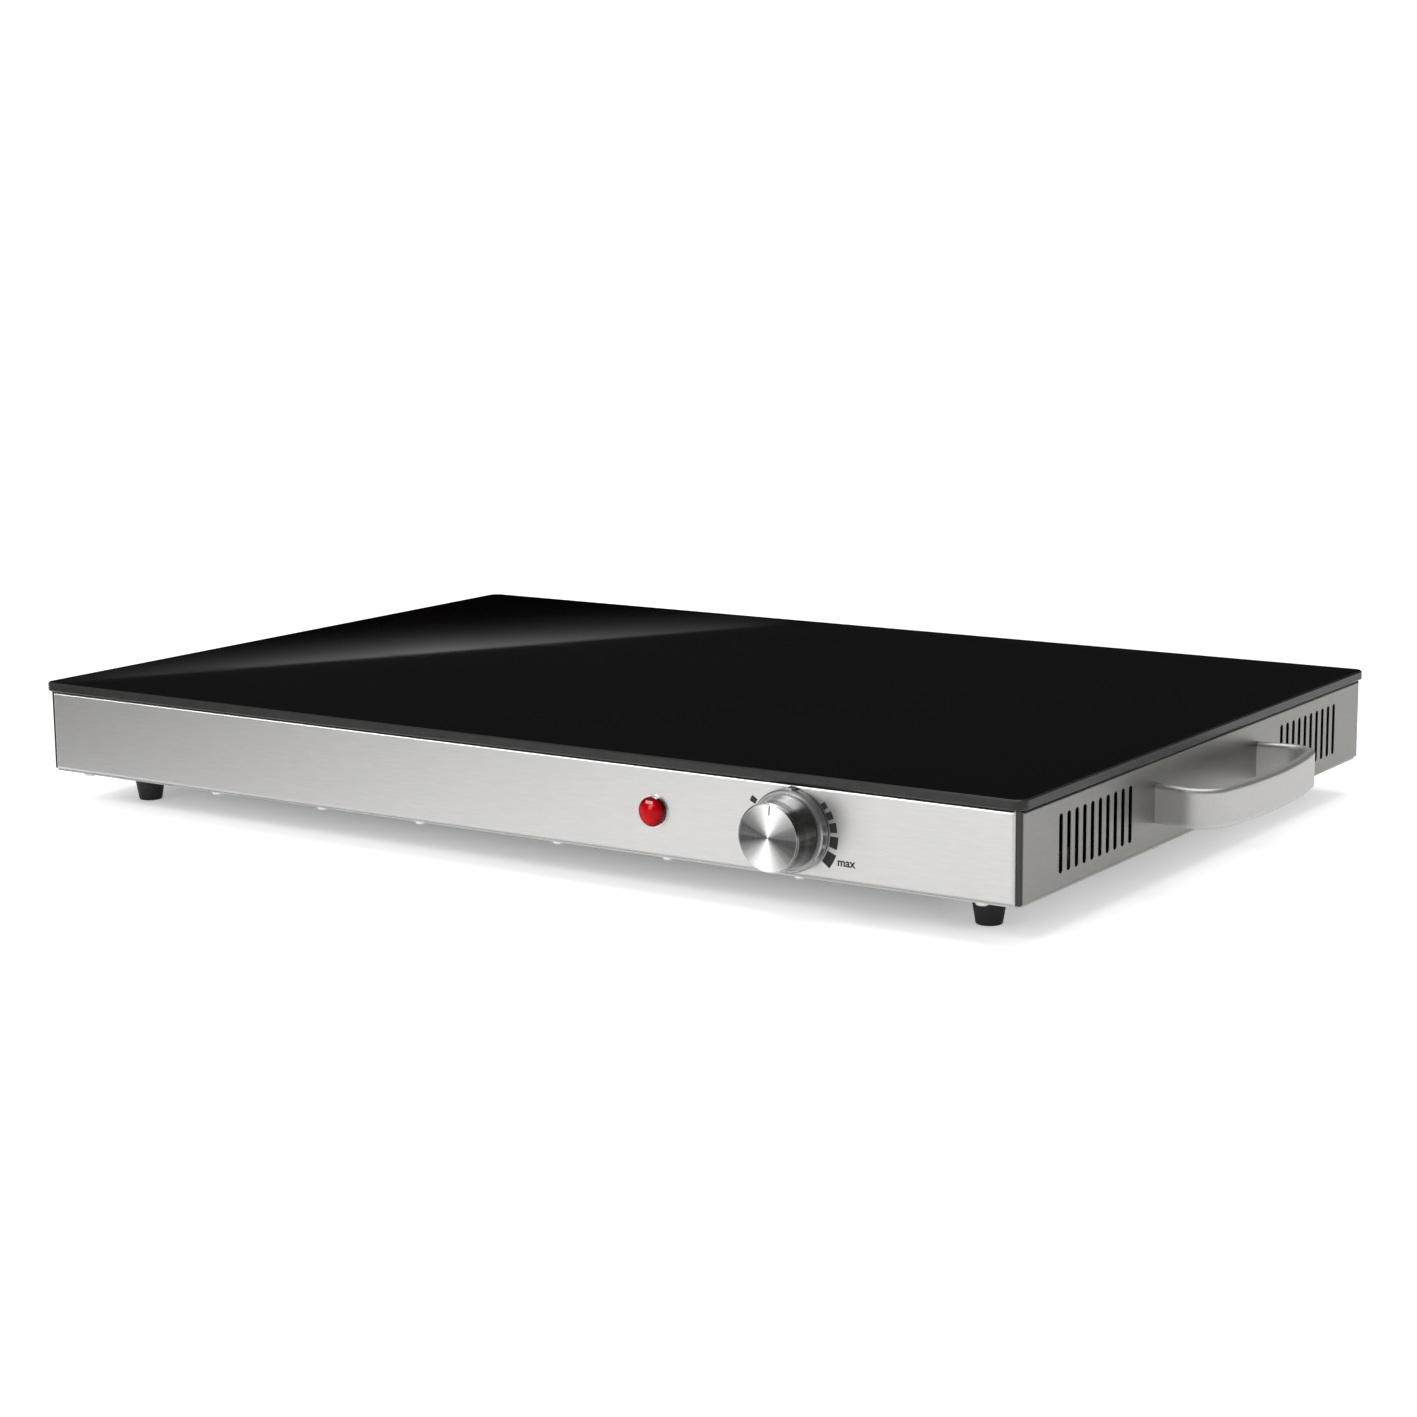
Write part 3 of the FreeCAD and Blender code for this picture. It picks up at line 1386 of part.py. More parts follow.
# ---------------------------------------------------------------- write every node
def build_nodes():
    nodes = {
        "glass_top": make_glass(),
        "glass_seal": make_seal(),
        "front_panel": make_front_panel(),
        "rear_panel": make_rear_panel(),
        "left_end_panel": make_end_panel(-1),
        "right_end_panel": make_end_panel(1),
        "corner_brackets": make_corner_brackets(),
        "bottom_cover": make_bottom_cover(),
        "bottom_cover_screws": make_cover_screws(),
        "foot_washers": make_foot_washers(),
        "foot_screws": make_foot_screws(),
        "foot_nuts": make_foot_nuts(),
        "left_handle": make_handle(-1),
        "right_handle": make_handle(1),
        "handle_screws": make_handle_screws(),
        "knob_core": make_knob_core(),
        "knob_cap": make_knob_cap(),
        "knob_spring_clip": make_knob_clip(),
        "control_spindle": make_spindle(),
        "thermostat_bushing": make_bushing(),
        "thermostat_nut": make_bushing_nut(),
        "thermostat_body": make_thermostat_body(),
        "thermostat_blade": make_blade(),
        "thermostat_terminals": make_terminal_tabs(),
        "adjuster_pin": make_adjuster_pin(),
        "pilot_lens": make_lamp_lens(),
        "pilot_housing": make_lamp_housing(),
        "pilot_retaining_ring": make_lamp_clip(),
        "pilot_bulb": make_lamp_bulb(),
        "heat_spreader": make_spreader(),
        "heating_cord": make_element(),
        "heating_cord_straps": make_straps(),
        "insulation_blanket": make_blanket(),
        "reflector_pan": make_pan(),
        "pan_spacers": make_spacers(),
        "pan_spacer_screws": make_spacer_screws(),
        "inlet_body": make_inlet_body(),
        "inlet_pins": make_inlet_pins(),
        "inlet_fasteners": make_inlet_screws(),
        "earth_stud": make_earth_stud(),
        "earth_lug": make_earth_lug(),
        "thermal_fuse": make_fuse(),
        "thermal_fuse_clip": make_fuse_clip(),
        "live_wire": make_live_wire(),
        "neutral_wire": make_neutral_wire(),
        "switched_wire": make_switched_wire(),
        "fused_wire": make_fused_wire(),
        "pilot_leads": make_lamp_leads(),
        "earth_wire": make_earth_wire(),
        "wire_splices": make_splices(),
        "wire_clips": make_wire_clips(),
    }
    for name, (x, y) in foot_places().items():
        nodes["foot_" + name] = make_foot(x, y)
    return nodes


os.makedirs("parts", exist_ok=True)
for node_name, node_shape in build_nodes().items():
    node_shape.exportStep("parts/" + node_name + ".step")
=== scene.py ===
import json
import math

import bmesh
import bpy
from mathutils import Matrix, Vector, noise


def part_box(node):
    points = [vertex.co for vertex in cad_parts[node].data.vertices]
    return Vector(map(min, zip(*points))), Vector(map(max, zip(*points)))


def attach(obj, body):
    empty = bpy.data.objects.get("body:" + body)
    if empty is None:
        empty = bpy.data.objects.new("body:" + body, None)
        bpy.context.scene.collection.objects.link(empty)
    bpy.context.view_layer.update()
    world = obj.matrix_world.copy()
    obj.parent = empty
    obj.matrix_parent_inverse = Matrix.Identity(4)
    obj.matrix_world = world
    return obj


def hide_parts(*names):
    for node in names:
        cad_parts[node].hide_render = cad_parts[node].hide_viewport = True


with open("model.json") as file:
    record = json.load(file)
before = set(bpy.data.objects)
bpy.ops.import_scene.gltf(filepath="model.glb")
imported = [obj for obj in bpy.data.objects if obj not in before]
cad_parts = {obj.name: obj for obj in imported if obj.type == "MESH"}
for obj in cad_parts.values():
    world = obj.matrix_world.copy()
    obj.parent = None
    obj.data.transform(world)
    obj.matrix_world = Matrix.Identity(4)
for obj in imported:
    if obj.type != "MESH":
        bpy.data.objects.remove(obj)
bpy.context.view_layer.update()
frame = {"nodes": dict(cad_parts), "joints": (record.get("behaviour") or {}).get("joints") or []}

bl_info = {
    "name": "Glass-Top Hot Plate",
    "version": (1, 0, 0),
    "blender": (4, 5, 0),
    "location": "View3D > Sidebar > Hot Plate",
    "description": "Finishes, printed scale and studio for a glass-top hot plate",
    "category": "Object",
}

# ---- places read from the frame
glass_low, glass_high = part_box("glass_top")
panel_low, panel_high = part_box("front_panel")
cap_low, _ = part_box("knob_cap")
blanket_low, blanket_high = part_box("insulation_blanket")
left_foot_low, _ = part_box("foot_front_left")
knob_joint = next(j for j in frame["joints"] if j["name"] == "knob_turn")
knob_centre = Vector(knob_joint["pos_m"])
panel_face_y = panel_low.y
FLOOR_Z = left_foot_low.z
DUST_COLOUR = (0.42, 0.41, 0.39)


# ---- settings
def colour(name, description, default):
    """A colour property in the sidebar."""
    return bpy.props.FloatVectorProperty(name=name, description=description, subtype="COLOR", size=3,
                                         min=0.0, max=1.0, default=default)


def length(name, description, default):
    """A length property in the sidebar, in metres."""
    return bpy.props.FloatProperty(name=name, description=description, default=default, min=0.0,
                                   unit="LENGTH", precision=4)


def share(name, description, default):
    """A property from nought to one in the sidebar."""
    return bpy.props.FloatProperty(name=name, description=description, default=default, min=0.0, max=1.0,
                                   subtype="FACTOR")


def turn(name, description, degrees):
    """An angle property in the sidebar, given in degrees."""
    return bpy.props.FloatProperty(name=name, description=description, default=math.radians(degrees),
                                   subtype="ANGLE")


def power(name, description, default):
    """A lamp power property in the sidebar, in watts."""
    return bpy.props.FloatProperty(name=name, description=description, default=default, min=0.0,
                                   unit="POWER")


class HotPlateGlassSettings(bpy.types.PropertyGroup):
    face: colour("Face", "Black of the glass top seen from above", (0.0032, 0.0027, 0.0027))
    edge: colour("Edge", "Grey of the ground edge of the glass", (0.016, 0.0155, 0.0145))
    seal: colour("Seal", "Colour of the silicone seal under the glass", (0.012, 0.012, 0.012))
    polish: share("Polish roughness", "Roughness of the polished face", 0.02)


class HotPlateCasingSettings(bpy.types.PropertyGroup):
    steel: colour("Brushed steel", "Colour of the front and rear panels", (0.66, 0.655, 0.64))
    # Painted shade: the end panels are the same brushed steel as the front and rear, given a darker colour
    # for the shade on them.
    shaded_end_steel: colour("End panels", "Colour of the two slotted end panels", (0.33, 0.326, 0.308))
    zinc: colour("Plated sheet", "Colour of the bottom cover and the corner brackets", (0.5, 0.51, 0.52))
    grain_depth: length("Grain depth", "Depth of the brushed lines", 0.00002)


class HotPlateHandleSettings(bpy.types.PropertyGroup):
    metal: colour("Handle metal", "Colour of the satin handles", (0.68, 0.674, 0.656))
    screw: colour("Screws", "Colour of the bright plated screws", (0.8, 0.8, 0.79))


class HotPlateKnobSettings(bpy.types.PropertyGroup):
    cap: colour("Cap", "Colour of the turned metal cap", (0.74, 0.74, 0.73))
    skirt: colour("Skirt", "Colour of the silver-grey skirt", (0.36, 0.36, 0.36))
    pointer: colour("Pointer", "Colour of the line on the knob's face", (0.012, 0.012, 0.012))
    pointer_turn: turn("Pointer angle", "Rest angle of the pointer, clockwise from the top", 4.0)
    pointer_width: length("Pointer width", "Width of the ink in the cut line", 0.00068)
    pointer_start: length("Pointer start", "Distance of the line's inner end from the knob axis", 0.01061)
    pointer_end: length("Pointer end", "Distance of the line's outer end from the knob axis", 0.01519)
    pointer_depth: length("Pointer depth", "Depth of the cut line that the ink fills", 0.0003)


class HotPlateScaleSettings(bpy.types.PropertyGroup):
    ink: colour("Ink", "Colour of the printed scale", (0.012, 0.012, 0.012))
    thickness: length("Ink thickness", "Thickness of the print on the panel", 0.00005)
    inner_radius: length("Inner radius", "Radius where the growing blocks begin", 0.0203)
    first_width: length("First block width", "Radial width of the lowest setting's block", 0.0026)
    last_width: length("Last block width", "Radial width of the highest setting's block", 0.005)
    first_turn: turn("First block angle", "Angle of the first block, clockwise from the top", 53.0)
    last_turn: turn("Last block angle", "Angle of the last block, clockwise from the top", 120.0)
    blocks: bpy.props.IntProperty(name="Blocks", description="Blocks in the scale", default=5, min=2)
    first_half: turn("First block half angle", "Half the angle that the first block spans", 4.2)
    last_half: turn("Last block half angle", "Half the angle that the last block spans", 8.4)
    off_turn: turn("Off bar angle", "Angle of the bar at the off end", -60.5)
    off_radius: length("Off bar radius", "Radius where the off bar begins", 0.0222)
    off_width: length("Off bar width", "Radial width of the off bar", 0.0034)
    word_height: length("Word height", "Letter size of the word at the high end", 0.0055)
    word_x: length("Word place", "Distance of the word from the knob axis", 0.0241)
    word_drop: length("Word drop", "How far the word's foot is below the knob axis", 0.0139)


class HotPlateLampSettings(bpy.types.PropertyGroup):
    lens: colour("Lens", "Red of the pilot lamp's lens", (0.42, 0.001, 0.005))
    glow: share("Glow", "Light that the lamp behind the lens adds", 0.1)
    housing: colour("Housing", "Colour of the lamp's housing", (0.025, 0.025, 0.026))


class HotPlateFootSettings(bpy.types.PropertyGroup):
    rubber: colour("Rubber", "Colour of the moulded feet", (0.0125, 0.012, 0.0115))


class HotPlateInsideSettings(bpy.types.PropertyGroup):
    aluminium: colour("Heat spreader", "Colour of the mill-finish aluminium sheet", (0.72, 0.72, 0.73))
    silicone: colour("Heating cord", "Colour of the silicone heating cord", (0.5, 0.11, 0.06))
    fibre: colour("Blanket", "Colour of the fibre blanket", (0.78, 0.76, 0.7))
    ceramic: colour("Ceramic", "Colour of the unglazed ceramic", (0.72, 0.69, 0.62))
    brass: colour("Brass", "Colour of the plain brass", (0.68, 0.5, 0.2))
    nylon: colour("Nylon", "Colour of the moulded nylon clips", (0.62, 0.61, 0.57))
    swell: length("Blanket swell", "How far the blanket's faces rise and fall", 0.0007)


class HotPlateStageSettings(bpy.types.PropertyGroup):
    floor: colour("Floor", "Colour of the studio floor", (0.93, 0.93, 0.93))
    floor_lift: share("Floor lift", "Light added to the floor so that it meets the background", 0.1)
    ambient: share("Ambient", "Strength of the even light on matt surfaces", 0.5)
    mirror: share("Mirrored room", "Strength of the room seen in shiny surfaces", 0.014)
    key: power("Key light", "Power of the light in front", 6.0)
    bend: power("Bend light", "Power of the light that the panel's upper bend mirrors", 12.0)
    top: power("Top light", "Power of the light overhead", 32.0)
    flag: share("Flag", "How dark the cloth is that the left of the front panel mirrors", 0.75)
    glow: bpy.props.FloatProperty(name="Card glow", description="Strength of the card mirrored in the glass",
                                  default=0.31, min=0.0)
    lens: bpy.props.FloatProperty(name="Lens", description="Focal length in millimetres on a 36 mm sensor",
                                  default=73.24, min=10.0)


def group(kind, name):
    return bpy.props.PointerProperty(type=kind, name=name)


class HotPlateSettings(bpy.types.PropertyGroup):
    glass: group(HotPlateGlassSettings, "Glass")
    casing: group(HotPlateCasingSettings, "Casing")
    handle: group(HotPlateHandleSettings, "Handles")
    knob: group(HotPlateKnobSettings, "Knob")
    scale: group(HotPlateScaleSettings, "Scale")
    lamp: group(HotPlateLampSettings, "Lamp")
    foot: group(HotPlateFootSettings, "Feet")
    inside: group(HotPlateInsideSettings, "Inside")
    stage: group(HotPlateStageSettings, "Stage")


# ---- node helpers
def rgba(value):
    return (value[0], value[1], value[2], 1.0)


def even(marks):
    """The same number of marks a metre along every axis."""
    return (marks, marks, marks)


def shaded(value, factor):
    """A colour made lighter or darker."""
    return tuple(min(1.0, c * factor) for c in value)


def feed(tree, socket, value):
    """Give an input its value: another node's output, or a plain value."""
    if isinstance(value, bpy.types.NodeSocket):
        tree.links.new(value, socket)
    else:
        socket.default_value = value


def add_node(tree, kind, **values):
    """Shader node with its inputs fed by name, where an underscore stands for a space."""
    node = tree.nodes.new("ShaderNode" + kind)
    for label, value in values.items():
        feed(tree, node.inputs[label.replace("_", " ")], value)
    return node


def worked_out(tree, kind, operation, operands):
    """Outputs of a math node."""
    node = add_node(tree, kind)
    node.operation = operation
    for socket, value in zip(node.inputs, operands):
        feed(tree, socket, value)
    return node.outputs


def maths(tree, operation, *operands):
    return worked_out(tree, "Math", operation, operands)["Value"]


def vector_maths(tree, operation, *operands):
    return worked_out(tree, "VectorMath", operation, operands)


def times(tree, first, second):
    return maths(tree, "MULTIPLY", first, second)


def ramp(tree, value, low, high, to_low=0.0, to_high=1.0):
    """Map a value's range to another, clamped."""
    return add_node(tree, "MapRange", Value=value, From_Min=low, From_Max=high,
                    To_Min=to_low, To_Max=to_high).outputs["Result"]


def blend_colours(tree, mask, first, second):
    """Mix two colours, each a socket or a triple, by a mask."""
    node = add_node(tree, "Mix")
    node.data_type = "RGBA"
    feed(tree, node.inputs["Factor"], mask)
    for name, value in (("A", first), ("B", second)):
        socket = next(s for s in node.inputs if s.name == name and s.type == "RGBA")
        feed(tree, socket, value if isinstance(value, bpy.types.NodeSocket) else rgba(value))
    return next(s for s in node.outputs if s.type == "RGBA")


def object_place(tree):
    return add_node(tree, "TexCoord").outputs["Object"]


def surface_normal(tree):
    return add_node(tree, "NewGeometry").outputs["Normal"]


def axes(tree, vector):
    """The X, Y and Z sockets of a vector."""
    return add_node(tree, "SeparateXYZ", Vector=vector).outputs


def size_of(tree, value):
    """A value without its sign."""
    return maths(tree, "ABSOLUTE", value)


def cloud(tree, place, scale, detail, rough=0.5):
    """Noise over a place."""
    node = add_node(tree, "TexNoise", Vector=place, Scale=scale, Detail=detail, Roughness=rough)
    return node.outputs["Fac"]


def line_noise(tree, value):
    """Noise along a single value."""
    node = add_node(tree, "TexNoise", Scale=1.0, Detail=3.0)
    node.noise_dimensions = "1D"
    feed(tree, node.inputs["W"], value)
    return node.outputs["Fac"]


# ---- shared effects
def new_effect(name, inputs, outputs):
    """Empty shader node group with its sockets: inputs are (name, type, default)."""
    group = bpy.data.node_groups.new(name, "ShaderNodeTree")
    for label, kind, default in inputs:
        socket = group.interface.new_socket(name=label, in_out="INPUT", socket_type=kind)
        socket.default_value = default
    for label in outputs:
        group.interface.new_socket(name=label, in_out="OUTPUT", socket_type="NodeSocketFloat")
    return group, group.nodes.new("NodeGroupInput").outputs, group.nodes.new("NodeGroupOutput").inputs


def build_surface_grain():
    """Drawn, brushed or pebbled grain: the stretch says how many marks a metre along each axis."""
    group, given, out = new_effect("Surface Grain", [("Stretch", "NodeSocketVector", even(900.0))],
                                   ["Tone", "Height"])
    place = vector_maths(group, "MULTIPLY", object_place(group), given["Stretch"])["Vector"]
    fine = cloud(group, place, 1.0, 4.0, 0.65)
    coarse = cloud(group, place, 0.33, 2.0)
    group.links.new(ramp(group, coarse, 0.32, 0.68), out["Tone"])
    group.links.new(fine, out["Height"])
    return group


def build_cloudiness():
    """Slow change of tone over a surface, and the smudges that handling leaves."""
    group, given, out = new_effect("Cloudiness", [("Stretch", "NodeSocketVector", even(9.0))],
                                   ["Cloud", "Smudge"])
    place = vector_maths(group, "MULTIPLY", object_place(group), given["Stretch"])["Vector"]
    slow = cloud(group, place, 1.0, 2.0)
    spots = cloud(group, place, 4.0, 6.0, 0.7)
    group.links.new(ramp(group, slow, 0.3, 0.7), out["Cloud"])
    group.links.new(ramp(group, spots, 0.52, 0.75), out["Smudge"])
    return group


def build_edge_rub():
    """Mask of outer edges and corners, where handling brightens or wears a finish."""
    group, given, out = new_effect("Edge Rub", [("Breaks", "NodeSocketFloat", 0.35)], ["Mask"])
    rounded = add_node(group, "Bevel", Radius=0.0009)
    rounded.samples = 4
    match = vector_maths(group, "DOT_PRODUCT", rounded.outputs["Normal"], surface_normal(group))["Value"]
    edge = ramp(group, match, 0.995, 0.86)
    patchy = cloud(group, object_place(group), 160.0, 4.0)
    kept = maths(group, "SUBTRACT", edge, times(group, given["Breaks"], patchy))
    group.links.new(ramp(group, kept, 0.0, 1.0), out["Mask"])
    return group


def build_settled_dust():
    """Thin dust on faces that look up."""
    group, given, out = new_effect("Settled Dust", [("Amount", "NodeSocketFloat", 0.2)], ["Mask"])
    upward = ramp(group, axes(group, surface_normal(group))["Z"], 0.2, 0.9)
    specks = ramp(group, cloud(group, object_place(group), 420.0, 5.0, 0.75), 0.45, 0.8)
    dust = times(group, upward, specks)
    group.links.new(times(group, dust, given["Amount"]), out["Mask"])
    return group


def build_rings_and_painted_wedges():
    """Rings that a lathe tool leaves round an axis along Y, and painted light: leaning bright and dark
    wedges that paint what the rings would mirror.
    """
    group, given, out = new_effect("Turned Rings", [("Centre", "NodeSocketVector", (0.0, 0.0, 0.0)),
                                                    ("Pitch", "NodeSocketFloat", 2200.0)],
                                   ["Ring", "Wedge"])
    place = axes(group, vector_maths(group, "SUBTRACT", object_place(group), given["Centre"])["Vector"])
    across, rise = place["X"], place["Z"]
    square = maths(group, "ADD", times(group, across, across), times(group, rise, rise))
    ring = line_noise(group, times(group, maths(group, "SQRT", square), given["Pitch"]))
    angle = maths(group, "ARCTAN2", rise, across)
    streak = line_noise(group, times(group, maths(group, "SINE", angle), 3.0))
    # Painted light: bright and dark sectors by angle round the axis, a painted reflection that turns with
    # the part.
    painted_wedge_lean, painted_wedge_sharpness = 0.3, 1.4
    leaning = maths(group, "ADD", times(group, angle, 2.0), painted_wedge_lean)
    swing = ramp(group, maths(group, "COSINE", leaning), 1.0, -1.0)
    mixed = maths(group, "ADD", times(group, maths(group, "POWER", swing, painted_wedge_sharpness), 0.85),
                  times(group, streak, 0.3))
    group.links.new(ring, out["Ring"])
    group.links.new(ramp(group, mixed, 0.14, 1.0), out["Wedge"])
    return group


def build_spangle():
    """Crystal pattern of plated sheet."""
    group, given, out = new_effect("Plating Spangle", [("Crystals", "NodeSocketFloat", 160.0)], ["Tone"])
    cells = add_node(group, "TexVoronoi", Vector=object_place(group), Scale=given["Crystals"])
    split = add_node(group, "SeparateColor", Color=cells.outputs["Color"])
    group.links.new(split.outputs[0], out["Tone"])
    return group


EFFECT_BUILDERS = {
    "grain": build_surface_grain,
    "cloud": build_cloudiness,
    "rub": build_edge_rub,
    "dust": build_settled_dust,
    "rings": build_rings_and_painted_wedges,
    "spangle": build_spangle,
}
effects = {}


def effect(tree, name, **values):
    """Place a shared effect in a material, built the first time it is asked for."""
    if name not in effects:
        effects[name] = EFFECT_BUILDERS[name]()
    node = add_node(tree, "Group")
    node.node_tree = effects[name]
    for label, value in values.items():
        node.inputs[label].default_value = value
    return node.outputs


def bare_material(name):
    """Material with only an output: returns it, its tree and the surface socket."""
    material = bpy.data.materials.new(name)
    material.use_nodes = True
    tree = material.node_tree
    tree.nodes.clear()
    return material, tree, add_node(tree, "OutputMaterial").inputs["Surface"]


def new_material(name):
    """Material with a Principled shader: returns it, its tree and the shader's inputs."""
    material, tree, surface = bare_material(name)
    shader = add_node(tree, "BsdfPrincipled")
    tree.links.new(shader.outputs["BSDF"], surface)
    return material, tree, shader.inputs


def tint_from(tree, shader, mask, first, second):
    """Base colour mixed from two by a mask."""
    tree.links.new(blend_colours(tree, mask, first, second), shader["Base Color"])


def roughness_from(tree, shader, mask, low, high, least, most):
    """Roughness that follows a mask."""
    tree.links.new(ramp(tree, mask, low, high, least, most), shader["Roughness"])


def raise_surface(tree, shader, height, depth, strength=1.0):
    """Bump from a height, in metres."""
    bump = add_node(tree, "Bump", Strength=strength, Distance=depth, Height=height)
    tree.links.new(bump.outputs["Normal"], shader["Normal"])


# ---- families of materials
def metal(name, tint, stretch, rough, depth, spread=0.12, rub=0.25, contrast=0.06, bare=1.0, fold_shade=1.0):
    """Worked metal: grain, slow tone and rubbed edges; folds that face the front or rear can be painted
    darker, as painted shade in the groove between panels.
    """
    material, tree, shader = new_material(name)
    grain = effect(tree, "grain", Stretch=stretch)
    slow = effect(tree, "cloud", Stretch=even(7.0))
    edge = effect(tree, "rub", Breaks=0.4)
    base = blend_colours(tree, grain["Tone"], shaded(tint, 1.0 - contrast), shaded(tint, 1.0 + contrast))
    base = blend_colours(tree, times(tree, slow["Cloud"], 0.25), base, shaded(tint, 0.9))
    base = blend_colours(tree, times(tree, edge["Mask"], rub), base, shaded(tint, 1.3))
    # Painted shade: faces turned to the front or rear, the folded ends in the corner groove, are darkened.
    if fold_shade < 1.0:
        turned = ramp(tree, size_of(tree, axes(tree, surface_normal(tree))["Y"]), 0.35, 0.7)
        base = blend_colours(tree, turned, base, shaded(tint, fold_shade))
    tree.links.new(base, shader["Base Color"])
    shader["Metallic"].default_value = bare
    roughness = ramp(tree, grain["Height"], 0.3, 0.7, rough - spread / 2, rough + spread / 2)
    roughness = maths(tree, "ADD", roughness, times(tree, slow["Smudge"], 0.05))
    tree.links.new(roughness, shader["Roughness"])
    raise_surface(tree, shader, grain["Height"], depth)
    return material


def moulding(name, tint, pebble, rough, depth, rub=0.3, dust=0.15):
    """Moulded plastic, rubber or ceramic: pebbled skin, scuffed edges and thin dust."""
    material, tree, shader = new_material(name)
    grain = effect(tree, "grain", Stretch=(pebble, pebble, pebble))
    slow = effect(tree, "cloud", Stretch=even(30.0))
    edge = effect(tree, "rub", Breaks=0.7)
    settled = effect(tree, "dust", Amount=dust)
    base = blend_colours(tree, slow["Cloud"], shaded(tint, 0.88), shaded(tint, 1.1))
    scuffed = tuple(min(1.0, c * 1.4 + 0.02) for c in tint)
    base = blend_colours(tree, times(tree, edge["Mask"], rub), base, scuffed)
    tint_from(tree, shader, settled["Mask"], base, DUST_COLOUR)
    roughness_from(tree, shader, grain["Tone"], 0.0, 1.0, rough - 0.06, rough + 0.06)
    raise_surface(tree, shader, grain["Height"], depth)
    return material


def plated_sheet(name, tint):
    """Plated sheet with a crystal pattern."""
    material, tree, shader = new_material(name)
    crystals = effect(tree, "spangle", Crystals=150.0)
    grain = effect(tree, "grain", Stretch=even(500.0))
    slow = effect(tree, "cloud", Stretch=even(5.0))
    edge = effect(tree, "rub", Breaks=0.5)
    base = blend_colours(tree, crystals["Tone"], shaded(tint, 0.86), shaded(tint, 1.12))
    base = blend_colours(tree, times(tree, slow["Cloud"], 0.4), base, shaded(tint, 0.82))
    tint_from(tree, shader, times(tree, edge["Mask"], 0.4), base, shaded(tint, 1.35))
    shader["Metallic"].default_value = 1.0
    roughness_from(tree, shader, crystals["Tone"], 0.0, 1.0, 0.34, 0.5)
    raise_surface(tree, shader, grain["Height"], 0.00003)
    return material


def dress(material, *nodes):
    """Give CAD nodes a material."""
    for name in nodes:
        slots = frame["nodes"][name].data.materials
        slots.clear()
        slots.append(material)


# ---- mesh helpers
def new_object(name, data):
    """Object in the scene that holds some data."""
    piece = bpy.data.objects.new(name, data)
    bpy.context.scene.collection.objects.link(piece)
    return piece


def mesh_piece(name, mesh, material):
    """Object made from a finished bmesh."""
    mesh.normal_update()
    data = bpy.data.meshes.new(name)
    mesh.to_mesh(data)
    mesh.free()
    data.materials.append(material)
    return new_object(name, data)


def flat_sheet(name, corners, material):
    """Four-cornered flat sheet."""
    mesh = bmesh.new()
    mesh.faces.new([mesh.verts.new(corner) for corner in corners])
    return mesh_piece(name, mesh, material)


def plate_from_outline(mesh, outline, back_y, front_y):
    """Closed thin plate from an (x, z) outline, between two y values."""
    rear = [mesh.verts.new((x, back_y, z)) for x, z in outline]
    fore = [mesh.verts.new((x, front_y, z)) for x, z in outline]
    mesh.faces.new(rear)
    mesh.faces.new(list(reversed(fore)))
    for i in range(len(outline)):
        j = (i + 1) % len(outline)
        mesh.faces.new((rear[j], rear[i], fore[i], fore[j]))


def arc_outline(centre, inner, outer, start, end, steps=8):
    """(x, z) outline of a ring sector, angles clockwise from the top."""
    angles = [start + (end - start) * i / steps for i in range(steps + 1)]
    outside = [(centre.x + outer * math.sin(a), centre.z + outer * math.cos(a)) for a in angles]
    inside = [(centre.x + inner * math.sin(a), centre.z + inner * math.cos(a)) for a in reversed(angles)]
    return outside + inside


# ---- glass
def black_glass(settings):
    """Black-backed glass: polished face, ground grey edge with a painted highlight along its chamfers, faint
    smudges.
    """
    material, tree, shader = new_material("Black Glass")
    facing = add_node(tree, "TexCoord").outputs["Normal"]
    upright = size_of(tree, axes(tree, facing)["Z"])
    edge = ramp(tree, upright, 0.9, 0.6)
    slow = effect(tree, "cloud", Stretch=even(6.0))
    grain = effect(tree, "grain", Stretch=even(900.0))
    ground = blend_colours(tree, grain["Tone"], shaded(settings.edge, 0.8), shaded(settings.edge, 1.25))
    # Painted highlight: the ground edge is made three times lighter where it turns at the chamfers.
    arris_highlight = ramp(tree, size_of(tree, maths(tree, "SUBTRACT", upright, 0.7)), 0.22, 0.06)
    ground = blend_colours(tree, arris_highlight, ground, shaded(settings.edge, 3.2))
    tint_from(tree, shader, edge, settings.face, ground)
    polished = maths(tree, "ADD", settings.polish, times(tree, slow["Smudge"], 0.03))
    rough = maths(tree, "ADD", polished, times(tree, edge, 0.3))
    tree.links.new(rough, shader["Roughness"])
    shader["IOR"].default_value = 1.5
    shader["Specular IOR Level"].default_value = 0.42
    raise_surface(tree, shader, times(tree, grain["Height"], edge), 0.00004)
    return material


class HOTPLATE_OT_glass(bpy.types.Operator):
    """Finish the black glass top and its seal"""
    bl_idname = "hot_plate.glass"
    bl_label = "Glass Top"

    def execute(self, context):
        settings = context.scene.hot_plate.glass
        dress(black_glass(settings), "glass_top")
        dress(moulding("Silicone Seal", settings.seal, 900.0, 0.62, 0.00003), "glass_seal")
        return {"FINISHED"}


